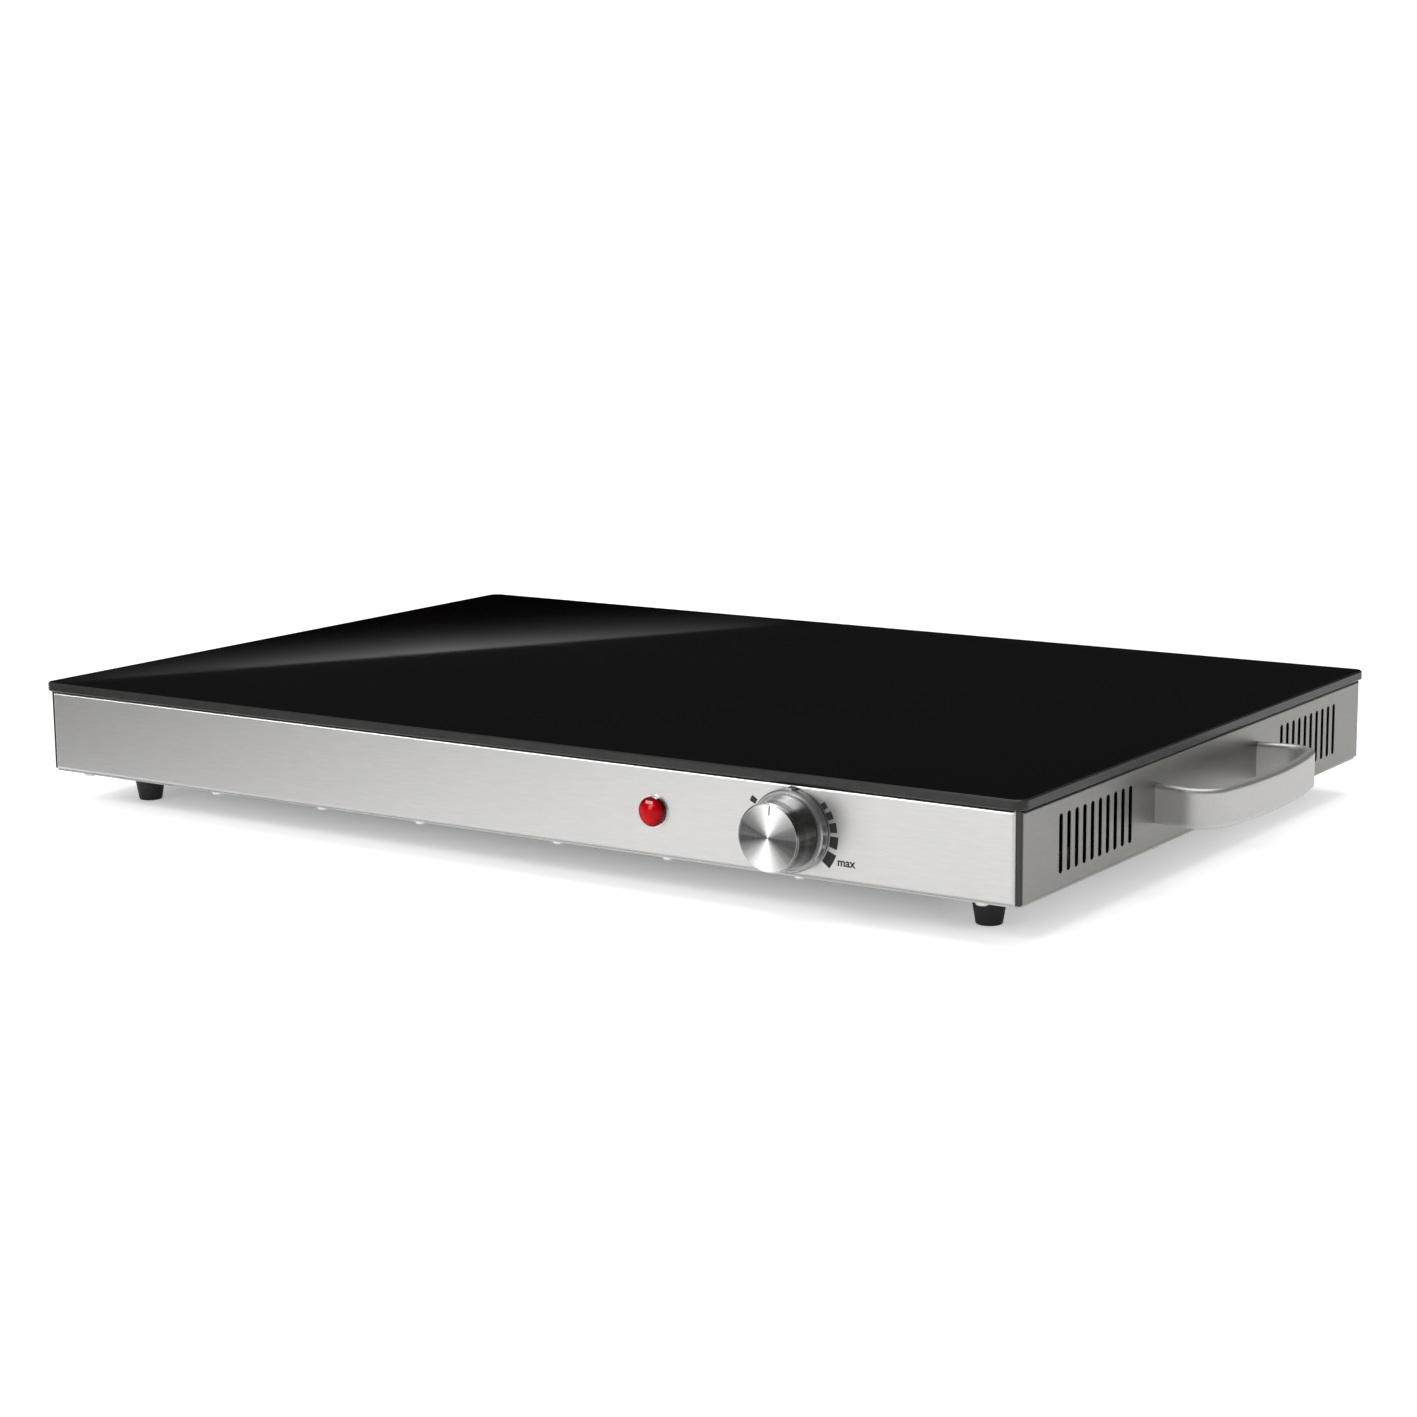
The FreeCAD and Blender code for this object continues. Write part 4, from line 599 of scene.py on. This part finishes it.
# ---- casing
class HOTPLATE_OT_casing(bpy.types.Operator):
    """Finish the brushed panels, the bottom cover and the corner brackets"""
    bl_idname = "hot_plate.casing"
    bl_label = "Casing"

    def execute(self, context):
        settings = context.scene.hot_plate.casing
        along_x = (260.0, 3000.0, 3000.0)
        along_y = (3000.0, 260.0, 3000.0)
        long_steel = metal("Brushed Steel Long Panels", settings.steel, along_x, 0.36, settings.grain_depth,
                           0.05, contrast=0.03)
        # The end panels' steel is painted darker as shade, and its folds in the corner groove are painted
        # darker still.
        shaded_end_steel = metal("Brushed Steel End Panels", settings.shaded_end_steel, along_y, 0.38,
                          settings.grain_depth, 0.05, contrast=0.03, fold_shade=0.2)
        dress(long_steel, "front_panel", "rear_panel")
        dress(shaded_end_steel, "left_end_panel", "right_end_panel")
        dress(plated_sheet("Plated Bottom Sheet", settings.zinc), "bottom_cover")
        dress(plated_sheet("Plated Brackets", shaded(settings.zinc, 0.92)), "corner_brackets")
        return {"FINISHED"}


class HOTPLATE_OT_fasteners(bpy.types.Operator):
    """Finish the screws, nuts, washers and studs"""
    bl_idname = "hot_plate.fasteners"
    bl_label = "Fasteners"

    def execute(self, context):
        settings = context.scene.hot_plate.handle
        bright = metal("Bright Plated Screws", settings.screw, even(700.0), 0.16, 0.00001, 0.08, 0.2)
        dull = metal("Dull Plated Hardware", shaded(settings.screw, 0.8), even(900.0), 0.34,
                     0.00002, 0.1, 0.3)
        dress(bright, "bottom_cover_screws", "foot_screws", "handle_screws")
        dress(dull, "foot_washers", "foot_nuts", "pan_spacer_screws", "inlet_fasteners", "earth_stud",
              "thermostat_nut")
        return {"FINISHED"}


class HOTPLATE_OT_handles(bpy.types.Operator):
    """Finish the two satin carrying handles"""
    bl_idname = "hot_plate.handles"
    bl_label = "Handles"

    def execute(self, context):
        settings = context.scene.hot_plate.handle
        satin = metal("Satin Handle Metal", settings.metal, (2200.0, 900.0, 2200.0), 0.46, 0.00001,
                      0.05, 0.3, contrast=0.02, bare=0.8)
        dress(satin, "left_handle", "right_handle")
        return {"FINISHED"}


class HOTPLATE_OT_feet(bpy.types.Operator):
    """Finish the four moulded rubber feet"""
    bl_idname = "hot_plate.feet"
    bl_label = "Feet"

    def execute(self, context):
        settings = context.scene.hot_plate.foot
        rubber = moulding("Moulded Foot Rubber", settings.rubber, 1100.0, 0.5, 0.00005, 0.3, 0.12)
        dress(rubber, "foot_front_left", "foot_front_right", "foot_rear_left", "foot_rear_right")
        return {"FINISHED"}


# ---- knob and scale
def turned_cap_with_painted_wedges(settings):
    """Turned metal cap: fine rings over painted light, bright and dark wedges that paint the reflections of
    the spun face.
    """
    material, tree, shader = new_material("Turned Knob Cap")
    rings = effect(tree, "rings", Centre=tuple(knob_centre), Pitch=3200.0)
    # Painted reflection: the wedge mask makes the cap dark at the sides and bright at top and bottom.
    base = blend_colours(tree, rings["Wedge"], shaded(settings.cap, 0.07), shaded(settings.cap, 1.3))
    base = blend_colours(tree, ramp(tree, rings["Ring"], 0.35, 0.65, 0.0, 0.07), base, settings.cap)
    edge = effect(tree, "rub", Breaks=0.2)
    tint_from(tree, shader, times(tree, edge["Mask"], 0.7), base, shaded(settings.cap, 1.25))
    shader["Metallic"].default_value = 1.0
    roughness_from(tree, shader, rings["Ring"], 0.3, 0.7, 0.22, 0.34)
    shader["Anisotropic"].default_value = 0.9
    shader["Anisotropic Rotation"].default_value = 0.25
    tangent = add_node(tree, "Tangent")
    tangent.direction_type = "RADIAL"
    tangent.axis = "Y"
    tree.links.new(tangent.outputs["Tangent"], shader["Tangent"])
    raise_surface(tree, shader, rings["Ring"], 0.00002)
    return material


def silver_skirt(settings):
    """Silver-grey moulded skirt with a fine sparkle."""
    material, tree, shader = new_material("Silver Grey Skirt")
    grain = effect(tree, "grain", Stretch=even(2600.0))
    edge = effect(tree, "rub", Breaks=0.3)
    base = blend_colours(tree, grain["Tone"], shaded(settings.skirt, 0.88), shaded(settings.skirt, 1.15))
    tint_from(tree, shader, times(tree, edge["Mask"], 0.5), base, shaded(settings.skirt, 1.8))
    shader["Metallic"].default_value = 0.75
    roughness_from(tree, shader, grain["Height"], 0.3, 0.7, 0.26, 0.36)
    raise_surface(tree, shader, grain["Height"], 0.00001)
    return material


def printed_ink(name, tint):
    """Screen ink with a slightly uneven film."""
    material, tree, shader = new_material(name)
    grain = effect(tree, "grain", Stretch=even(1800.0))
    slow = effect(tree, "cloud", Stretch=even(120.0))
    tint_from(tree, shader, slow["Cloud"], shaded(tint, 0.8), shaded(tint, 1.5))
    roughness_from(tree, shader, grain["Tone"], 0.0, 1.0, 0.4, 0.55)
    raise_surface(tree, shader, grain["Height"], 0.00001)
    return material


class HOTPLATE_OT_knob(bpy.types.Operator):
    """Finish the knob and inlay its pointer line"""
    bl_idname = "hot_plate.knob"
    bl_label = "Knob"

    def execute(self, context):
        settings = context.scene.hot_plate.knob
        dress(turned_cap_with_painted_wedges(settings), "knob_cap")
        dress(silver_skirt(settings), "knob_core")
        along = Vector((math.sin(settings.pointer_turn), 0.0, math.cos(settings.pointer_turn)))
        across = Vector((along.z, 0.0, -along.x)) * (settings.pointer_width / 2)
        start = knob_centre + along * settings.pointer_start
        end = knob_centre + along * settings.pointer_end
        corners = [start - across, start + across, end + across, end - across]
        mesh = bmesh.new()
        plate_from_outline(mesh, [(c.x, c.z) for c in corners], cap_low.y + settings.pointer_depth,
                           cap_low.y + 0.00002)
        pointer = mesh_piece("pointer_line", mesh, printed_ink("Pointer Ink", settings.pointer))
        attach(pointer, "knob")
        return {"FINISHED"}


class HOTPLATE_OT_scale(bpy.types.Operator):
    """Print the off bar, the growing blocks and the word beside the knob"""
    bl_idname = "hot_plate.scale"
    bl_label = "Printed Scale"

    def execute(self, context):
        settings = context.scene.hot_plate.scale
        ink = printed_ink("Scale Ink", settings.ink)
        mesh = bmesh.new()
        front = panel_face_y - settings.thickness
        count = settings.blocks
        sweep = settings.last_turn - settings.first_turn
        spacing_growth, off_half = 0.2, 0.06
        for i in range(count):
            grown = i / (count - 1)
            spread = (1.0 - spacing_growth) * grown + spacing_growth * grown ** 3
            middle = settings.first_turn + sweep * spread
            width = settings.first_width + (settings.last_width - settings.first_width) * grown
            half = settings.first_half + (settings.last_half - settings.first_half) * grown ** 1.5
            outline = arc_outline(knob_centre, settings.inner_radius, settings.inner_radius + width,
                                  middle - half, middle + half)
            plate_from_outline(mesh, outline, panel_face_y + settings.thickness, front)
        off = arc_outline(knob_centre, settings.off_radius, settings.off_radius + settings.off_width,
                          settings.off_turn - off_half, settings.off_turn + off_half)
        plate_from_outline(mesh, off, panel_face_y + settings.thickness, front)
        scale = mesh_piece("printed_scale", mesh, ink)
        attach(scale, "tray")
        letters = bpy.data.curves.new("printed_word", "FONT")
        letters.body = "max"
        letters.size = settings.word_height
        letters.extrude = settings.thickness / 2
        letters.offset = 0.00013
        word = new_object("printed_word", letters)
        word.rotation_euler = (math.radians(90.0), 0.0, 0.0)
        word.location = (knob_centre.x + settings.word_x, panel_face_y - settings.thickness / 2,
                         knob_centre.z - settings.word_drop)
        letters.materials.append(ink)
        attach(word, "tray")
        return {"FINISHED"}


# ---- pilot lamp
def lamp_lens(settings):
    """Red lens with a darker rim, painted light wedges and fine inner facets, glossiest where it curves
    upward.
    """
    low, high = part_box("pilot_lens")
    centre = (low + high) / 2
    material, tree, shader = new_material("Red Lamp Lens")
    rings = effect(tree, "rings", Centre=tuple(centre), Pitch=900.0)
    front_point = (centre.x, low.y, centre.z)
    reach = vector_maths(tree, "DISTANCE", object_place(tree), front_point)["Value"]
    rim = ramp(tree, reach, 0.0045, 0.0075)
    facets = add_node(tree, "TexVoronoi", Vector=object_place(tree), Scale=700.0)
    # Painted light: the wedge mask makes sectors of the lens lighter and darker.
    painted_light = blend_colours(tree, rings["Wedge"], shaded(settings.lens, 0.9), shaded(settings.lens, 1.15))
    base = blend_colours(tree, rim, painted_light, shaded(settings.lens, 0.32))
    tree.links.new(base, shader["Base Color"])
    tree.links.new(base, shader["Emission Color"])
    shader["Emission Strength"].default_value = settings.glow
    roughness_from(tree, shader, rings["Ring"], 0.3, 0.7, 0.1, 0.17)
    shader["Specular IOR Level"].default_value = 0.08
    upward = axes(tree, surface_normal(tree))["Z"]
    tree.links.new(ramp(tree, upward, 0.1, 0.35, 0.08, 1.0), shader["Coat Weight"])
    shader["Coat Roughness"].default_value = 0.04
    raise_surface(tree, shader, facets.outputs["Distance"], 0.0002, 0.35)
    return material


def clear_bulb():
    """Small clear bulb with faint streaks."""
    material, tree, shader = new_material("Clear Bulb Glass")
    streaks = effect(tree, "grain", Stretch=(600.0, 90.0, 600.0))
    tint_from(tree, shader, streaks["Tone"], (0.9, 0.85, 0.8), (1.0, 0.97, 0.93))
    roughness_from(tree, shader, streaks["Tone"], 0.0, 1.0, 0.02, 0.07)
    shader["Transmission Weight"].default_value = 0.9
    shader["IOR"].default_value = 1.47
    return material


def bezel_housing(settings):
    """Black lamp housing whose front flange is bright plated."""
    material, tree, shader = new_material("Lamp Housing")
    bezel = ramp(tree, axes(tree, object_place(tree))["Y"], panel_face_y + 0.0001, panel_face_y)
    grain = effect(tree, "grain", Stretch=even(1400.0))
    edge = effect(tree, "rub", Breaks=0.6)
    plastic = blend_colours(tree, grain["Tone"], shaded(settings.housing, 0.85),
                            shaded(settings.housing, 1.2))
    plated = blend_colours(tree, edge["Mask"], (0.6, 0.6, 0.59), (0.8, 0.8, 0.79))
    tint_from(tree, shader, bezel, plastic, plated)
    tree.links.new(bezel, shader["Metallic"])
    roughness_from(tree, shader, bezel, 0.0, 1.0, 0.42, 0.16)
    raise_surface(tree, shader, grain["Height"], 0.00001)
    return material


class HOTPLATE_OT_lamp(bpy.types.Operator):
    """Finish the pilot lamp's lens, housing, clip ring and bulb"""
    bl_idname = "hot_plate.lamp"
    bl_label = "Pilot Lamp"

    def execute(self, context):
        settings = context.scene.hot_plate.lamp
        dress(lamp_lens(settings), "pilot_lens")
        dress(bezel_housing(settings), "pilot_housing")
        dress(metal("Lamp Clip Steel", (0.55, 0.55, 0.54), even(700.0), 0.3, 0.00001),
              "pilot_retaining_ring")
        dress(clear_bulb(), "pilot_bulb")
        return {"FINISHED"}


# ---- inside
def fibre_skin(settings):
    """Matted fibre: fine crossing strands over soft lumps."""
    material, tree, shader = new_material("Matted Fibre")
    long_strands = effect(tree, "grain", Stretch=(220.0, 1300.0, 1300.0))
    cross_strands = effect(tree, "grain", Stretch=(1300.0, 240.0, 1300.0))
    slow = effect(tree, "cloud", Stretch=even(22.0))
    strands = maths(tree, "MAXIMUM", long_strands["Height"], cross_strands["Height"])
    base = blend_colours(tree, ramp(tree, strands, 0.45, 0.75), shaded(settings.fibre, 0.78),
                         shaded(settings.fibre, 1.12))
    tint_from(tree, shader, times(tree, slow["Cloud"], 0.3), base, shaded(settings.fibre, 0.85))
    roughness_from(tree, shader, strands, 0.3, 0.8, 0.85, 0.98)
    shader["Sheen Weight"].default_value = 0.25
    raise_surface(tree, shader, strands, 0.0006)
    return material


def blanket_mesh(settings):
    """Closed fibre mat that fills the blanket's space, with soft edges and an uneven skin."""
    low, high = blanket_low, blanket_high
    columns, rows, edge_sink = 100, 60, 0.0022
    mesh = bmesh.new()
    layers = []
    for top in (False, True):
        sheet = []
        for j in range(rows + 1):
            line = []
            for i in range(columns + 1):
                x = low.x + (high.x - low.x) * i / columns
                y = low.y + (high.y - low.y) * j / rows
                lump = noise.noise(Vector((x * 28.0, y * 28.0, 3.0 if top else 9.0)))
                rim = min(i, columns - i, j, rows - j) / 3.0
                sink = settings.swell * (1.2 + lump) + edge_sink * max(0.0, 1.0 - rim) ** 2
                line.append(mesh.verts.new((x, y, high.z - sink if top else low.z + sink)))
            sheet.append(line)
        layers.append(sheet)
    under, over = layers
    for j in range(rows):
        for i in range(columns):
            mesh.faces.new((over[j][i], over[j][i + 1], over[j + 1][i + 1], over[j + 1][i]))
            mesh.faces.new((under[j][i], under[j + 1][i], under[j + 1][i + 1], under[j][i + 1]))
    ring = [(0, i) for i in range(columns)] + [(j, columns) for j in range(rows)]
    ring += [(rows, i) for i in range(columns, 0, -1)] + [(j, 0) for j in range(rows, 0, -1)]
    for (j0, i0), (j1, i1) in zip(ring, ring[1:] + ring[:1]):
        mesh.faces.new((under[j0][i0], under[j1][i1], over[j1][i1], over[j0][i0]))
    return mesh


class HOTPLATE_OT_heater(bpy.types.Operator):
    """Finish the heat spreader, heating cord, straps and pan, and lay the fibre blanket"""
    bl_idname = "hot_plate.heater"
    bl_label = "Heater Stack"

    def execute(self, context):
        settings = context.scene.hot_plate.inside
        dress(metal("Mill Aluminium Spreader", settings.aluminium, (60.0, 900.0, 900.0), 0.3, 0.00003),
              "heat_spreader")
        dress(metal("Aluminised Pan", shaded(settings.aluminium, 0.85), even(400.0), 0.38, 0.00003),
              "reflector_pan")
        dress(metal("Spring Strip Straps", (0.6, 0.6, 0.59), (900.0, 90.0, 900.0), 0.3, 0.00002),
              "heating_cord_straps")
        dress(moulding("Silicone Heating Cord", settings.silicone, 700.0, 0.55, 0.00004), "heating_cord")
        dress(moulding("Spacer Ceramic", settings.ceramic, 900.0, 0.72, 0.00004), "pan_spacers")
        skin = fibre_skin(settings)
        dress(skin, "insulation_blanket")
        blanket = mesh_piece("fibre_blanket", blanket_mesh(settings), skin)
        for face in blanket.data.polygons:
            face.use_smooth = True
        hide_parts("insulation_blanket")
        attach(blanket, "tray")
        return {"FINISHED"}


class HOTPLATE_OT_controls(bpy.types.Operator):
    """Finish the thermostat, its spindle and the thermal fuse"""
    bl_idname = "hot_plate.controls"
    bl_label = "Controls"

    def execute(self, context):
        settings = context.scene.hot_plate.inside
        brass = metal("Turned Brass", settings.brass, (1200.0, 90.0, 1200.0), 0.26, 0.00002)
        dress(brass, "control_spindle", "thermostat_bushing", "thermostat_terminals")
        dress(metal("Spring Clip Steel", (0.5, 0.5, 0.5), (90.0, 900.0, 900.0), 0.28, 0.00001),
              "knob_spring_clip", "thermal_fuse_clip")
        dress(metal("Bimetal Strip", (0.6, 0.54, 0.44), (60.0, 1100.0, 1100.0), 0.32, 0.00002),
              "thermostat_blade")
        dress(moulding("Thermostat Ceramic", settings.ceramic, 800.0, 0.7, 0.00005), "thermostat_body")
        dress(moulding("Adjuster Ceramic", shaded(settings.ceramic, 1.1), 900.0, 0.5, 0.00002),
              "adjuster_pin")
        dress(moulding("Fuse Sleeve", (0.74, 0.74, 0.72), 1000.0, 0.5, 0.00002), "thermal_fuse")
        return {"FINISHED"}


class HOTPLATE_OT_inlet(bpy.types.Operator):
    """Finish the appliance inlet in the rear panel"""
    bl_idname = "hot_plate.inlet"
    bl_label = "Appliance Inlet"

    def execute(self, context):
        dress(moulding("Inlet Thermoset", (0.02, 0.02, 0.021), 1500.0, 0.4, 0.00003), "inlet_body")
        dress(metal("Plated Inlet Pins", (0.76, 0.73, 0.66), (900.0, 60.0, 900.0), 0.18, 0.00001),
              "inlet_pins")
        return {"FINISHED"}


def sheath(name, tint):
    """Extruded wire sheath, shiny along its length."""
    return moulding(name, tint, 500.0, 0.4, 0.00002, 0.1, 0.08)


def striped_sheath(name, first, second):
    """Two-colour sheath of the earth wire, striped with height."""
    material, tree, shader = new_material(name)
    stripe = maths(tree, "SINE", times(tree, axes(tree, object_place(tree))["Z"], 3600.0))
    grain = effect(tree, "grain", Stretch=even(600.0))
    tint_from(tree, shader, ramp(tree, stripe, -0.15, 0.15), first, second)
    roughness_from(tree, shader, grain["Tone"], 0.0, 1.0, 0.34, 0.46)
    raise_surface(tree, shader, grain["Height"], 0.00002)
    return material


class HOTPLATE_OT_wiring(bpy.types.Operator):
    """Finish the wires, splices, clips and the earth lug"""
    bl_idname = "hot_plate.wiring"
    bl_label = "Wiring"

    def execute(self, context):
        settings = context.scene.hot_plate.inside
        dress(sheath("Brown Wire Sheath", (0.16, 0.06, 0.025)), "live_wire", "switched_wire")
        dress(sheath("Blue Wire Sheath", (0.02, 0.09, 0.4)), "neutral_wire")
        dress(sheath("White Wire Sheath", (0.72, 0.71, 0.68)), "fused_wire", "pilot_leads")
        dress(striped_sheath("Earth Wire Sheath", (0.05, 0.32, 0.04), (0.7, 0.62, 0.03)), "earth_wire")
        dress(moulding("Moulded Nylon", settings.nylon, 900.0, 0.45, 0.00002), "wire_splices", "wire_clips")
        dress(metal("Tinned Lug", (0.7, 0.69, 0.66), even(400.0), 0.3, 0.00002), "earth_lug")
        return {"FINISHED"}


# ---- stage
CARD_PLACE = (-1.224, 1.045, 0.311)
CARD_TILT = math.radians(2.8)
CARD_HEADING = math.radians(42.0)
CAMERA_HEADING, CAMERA_DIP, CAMERA_ROLL = -0.59077, 0.17897, -0.00989
CAMERA_FROM_TOP_CENTRE = Vector((0.8656, -1.2865, 0.2623))
# Each light: name, its power's setting, place, the point it faces, width and height
LIGHTS = (
    ("Key Light", "key", (-0.6, -1.9, 0.6), (0.1, -0.19, 0.05), 0.7, 0.9),
    ("Bend Light", "bend", (-1.0, -1.25, 0.92), (-0.75, -0.15, 0.06), 1.5, 0.35),
    ("Top Light", "top", (0.0, 0.2, 2.4), (0.0, 0.0, 0.0), 2.2, 2.2),
)


def matt_floor(settings):
    """Pale floor that fades into the white background; the camera sees its shadows softened."""
    material, tree, shader = new_material("Studio Floor")
    slow = effect(tree, "cloud", Stretch=(1.5, 1.5, 1.5))
    far = ramp(tree, vector_maths(tree, "LENGTH", object_place(tree))["Value"], 0.55, 1.7)
    near = blend_colours(tree, slow["Cloud"], settings.floor, shaded(settings.floor, 0.995))
    tint_from(tree, shader, far, near, (0.0, 0.0, 0.0))
    lift = (settings.floor_lift,) * 3
    tree.links.new(blend_colours(tree, far, lift, (1.0, 1.0, 1.0)), shader["Emission Color"])
    place = axes(tree, object_place(tree))
    # Painted light: for camera rays only, extra glow lightens the body's shadow on the floor in front and to
    # the right.
    front = ramp(tree, place["Y"], panel_low.y + 0.073, panel_low.y - 0.045, 1.0, 5.0)
    right = ramp(tree, place["X"], panel_high.x - 0.09, panel_high.x + 0.02, 1.0, 4.5)
    painted_shadow_lift = maths(tree, "MAXIMUM", front, right)
    seen = times(tree, add_node(tree, "LightPath").outputs["Is Camera Ray"], painted_shadow_lift)
    tree.links.new(maths(tree, "ADD", seen, 1.0), shader["Emission Strength"])
    shader["Roughness"].default_value = 0.95
    shader["Specular IOR Level"].default_value = 0.0
    return material


def card_glow(settings):
    """Soft glow that is strongest at the card's upper edge and fades down and to both ends."""
    material, tree, surface = bare_material("Mirrored Card")
    place = axes(tree, object_place(tree))
    rise = ramp(tree, place["X"], -0.34, 0.14)
    fade = ramp(tree, place["X"], 0.56, 0.14)
    ends = times(tree, maths(tree, "POWER", rise, 1.4), fade)
    fall = ramp(tree, place["Z"], -0.055, -0.002)
    soft = times(tree, ends, maths(tree, "POWER", fall, 5.0))
    glow = add_node(tree, "Emission", Strength=times(tree, soft, settings.glow))
    tree.links.new(glow.outputs["Emission"], surface)
    return material


def soft_light(name, place, target, width, height, power):
    """Area light that looks at a target and isn't itself in view."""
    lamp = bpy.data.lights.new(name, "AREA")
    lamp.shape = "RECTANGLE"
    lamp.size = width
    lamp.size_y = height
    lamp.energy = power
    piece = new_object(name, lamp)
    piece.location = place
    piece.rotation_mode = "QUATERNION"
    piece.rotation_quaternion = (Vector(target) - Vector(place)).to_track_quat("-Z", "Y")
    piece.visible_camera = False
    return piece


def studio_room(settings):
    """White background; matt surfaces get even light, and shiny ones mirror a dim room."""
    world = bpy.data.worlds.new("Studio Room")
    bpy.context.scene.world = world
    world.use_nodes = True
    tree = world.node_tree
    tree.nodes.clear()
    path = add_node(tree, "LightPath").outputs
    matt = times(tree, path["Is Diffuse Ray"], settings.ambient - settings.mirror)
    seen = times(tree, path["Is Camera Ray"], 1.0 - settings.mirror)
    total = maths(tree, "ADD", maths(tree, "ADD", matt, seen), settings.mirror)
    room = add_node(tree, "Background", Color=(1.0, 1.0, 1.0, 1.0), Strength=total)
    add_node(tree, "OutputWorld", Surface=room.outputs["Background"])


def studio_floor(settings):
    """Large flat floor under the feet."""
    reach = 14.0
    square = ((-reach, -reach), (reach, -reach), (reach, reach), (-reach, reach))
    corners = [(x, y, FLOOR_Z) for x, y in square]
    floor = flat_sheet("studio_floor", corners, matt_floor(settings))


def mirrored_card(settings):
    """Upright card behind the left end, seen only as a soft streak in the glass."""
    half, drop = 0.7, 0.12
    corners = [(-half, 0.0, -drop), (half, 0.0, -drop), (half, 0.0, 0.0), (-half, 0.0, 0.0)]
    card = flat_sheet("mirrored_card", corners, card_glow(settings))
    card.location = CARD_PLACE
    card.rotation_euler = (0.0, CARD_TILT, CARD_HEADING)
    card.visible_camera = False
    card.visible_diffuse = False
    card.visible_shadow = False


def floor_flag(settings):
    """Dark cloth on the floor at the front left, seen only in the front panel; it fades to the right."""
    material, tree, surface = bare_material("Flag Cloth")
    cloth = add_node(tree, "BsdfDiffuse", Color=(0.0, 0.0, 0.0, 1.0))
    clear = add_node(tree, "BsdfTransparent")
    sideways = axes(tree, object_place(tree))["X"]
    mixed = add_node(tree, "MixShader", Fac=ramp(tree, sideways, -0.52, 0.02, settings.flag, 0.0))
    tree.links.new(clear.outputs["BSDF"], mixed.inputs[1])
    tree.links.new(cloth.outputs["BSDF"], mixed.inputs[2])
    tree.links.new(mixed.outputs["Shader"], surface)
    near, far = panel_face_y - 0.03, panel_face_y - 1.2
    left, right, height = -1.4, 0.1, FLOOR_Z + 0.001
    corners = [(left, far, height), (right, far, height), (right, near, height), (left, near, height)]
    flag = flat_sheet("floor_flag", corners, material)
    flag.visible_camera = False
    flag.visible_diffuse = False
    flag.visible_shadow = False


def main_camera(settings):
    """Camera in front and to the right, a little above the glass, level but for a slight roll."""
    heading, dip, roll = CAMERA_HEADING, CAMERA_DIP, CAMERA_ROLL
    forward = Vector((math.sin(heading) * math.cos(dip), math.cos(heading) * math.cos(dip), -math.sin(dip)))
    level = Vector((math.cos(heading), -math.sin(heading), 0.0))
    upright = level.cross(forward)
    across = level * math.cos(roll) + upright * math.sin(roll)
    upward = upright * math.cos(roll) - level * math.sin(roll)
    data = bpy.data.cameras.new("Main Camera")
    data.lens = settings.lens
    data.sensor_width = 36.0
    camera = new_object("Main Camera", data)
    turned = Matrix((across, upward, -forward)).transposed().to_4x4()
    top_centre = Vector(((glass_low.x + glass_high.x) / 2, (glass_low.y + glass_high.y) / 2, glass_high.z))
    camera.matrix_world = Matrix.Translation(top_centre + CAMERA_FROM_TOP_CENTRE) @ turned
    bpy.context.scene.camera = camera


class HOTPLATE_OT_stage(bpy.types.Operator):
    """Set the floor, the lights, the room and the camera"""
    bl_idname = "hot_plate.stage"
    bl_label = "Studio Stage"

    def execute(self, context):
        settings = context.scene.hot_plate.stage
        context.scene.view_settings.view_transform = "Standard"
        studio_room(settings)
        studio_floor(settings)
        mirrored_card(settings)
        floor_flag(settings)
        for name, power, place, target, width, height in LIGHTS:
            soft_light(name, place, target, width, height, getattr(settings, power))
        main_camera(settings)
        return {"FINISHED"}


# ---- sidebar
OPERATORS = (
    HOTPLATE_OT_glass,
    HOTPLATE_OT_casing,
    HOTPLATE_OT_fasteners,
    HOTPLATE_OT_handles,
    HOTPLATE_OT_feet,
    HOTPLATE_OT_knob,
    HOTPLATE_OT_scale,
    HOTPLATE_OT_lamp,
    HOTPLATE_OT_heater,
    HOTPLATE_OT_controls,
    HOTPLATE_OT_inlet,
    HOTPLATE_OT_wiring,
    HOTPLATE_OT_stage,
)


class HOTPLATE_PT_sidebar(bpy.types.Panel):
    """Sizes and colours of the hot plate, and the steps that build its looks"""
    bl_idname = "HOTPLATE_PT_sidebar"
    bl_label = "Hot Plate"
    bl_space_type = "VIEW_3D"
    bl_region_type = "UI"
    bl_category = "Hot Plate"

    def draw(self, context):
        settings = context.scene.hot_plate
        for group_name in HotPlateSettings.__annotations__:
            group = getattr(settings, group_name)
            box = self.layout.box()
            box.label(text=group_name.title())
            for name in type(group).__annotations__:
                box.prop(group, name)
        for step in OPERATORS:
            self.layout.operator(step.bl_idname)


CLASSES = (
    HotPlateGlassSettings,
    HotPlateCasingSettings,
    HotPlateHandleSettings,
    HotPlateKnobSettings,
    HotPlateScaleSettings,
    HotPlateLampSettings,
    HotPlateFootSettings,
    HotPlateInsideSettings,
    HotPlateStageSettings,
    HotPlateSettings,
) + OPERATORS + (HOTPLATE_PT_sidebar,)


def register():
    for item in CLASSES:
        bpy.utils.register_class(item)
    bpy.types.Scene.hot_plate = bpy.props.PointerProperty(type=HotPlateSettings)


def unregister():
    del bpy.types.Scene.hot_plate
    for item in reversed(CLASSES):
        bpy.utils.unregister_class(item)


def main():
    register()
    for step in OPERATORS:
        group, name = step.bl_idname.split(".")
        getattr(getattr(bpy.ops, group), name)()


if __name__ == "__main__":
    main()
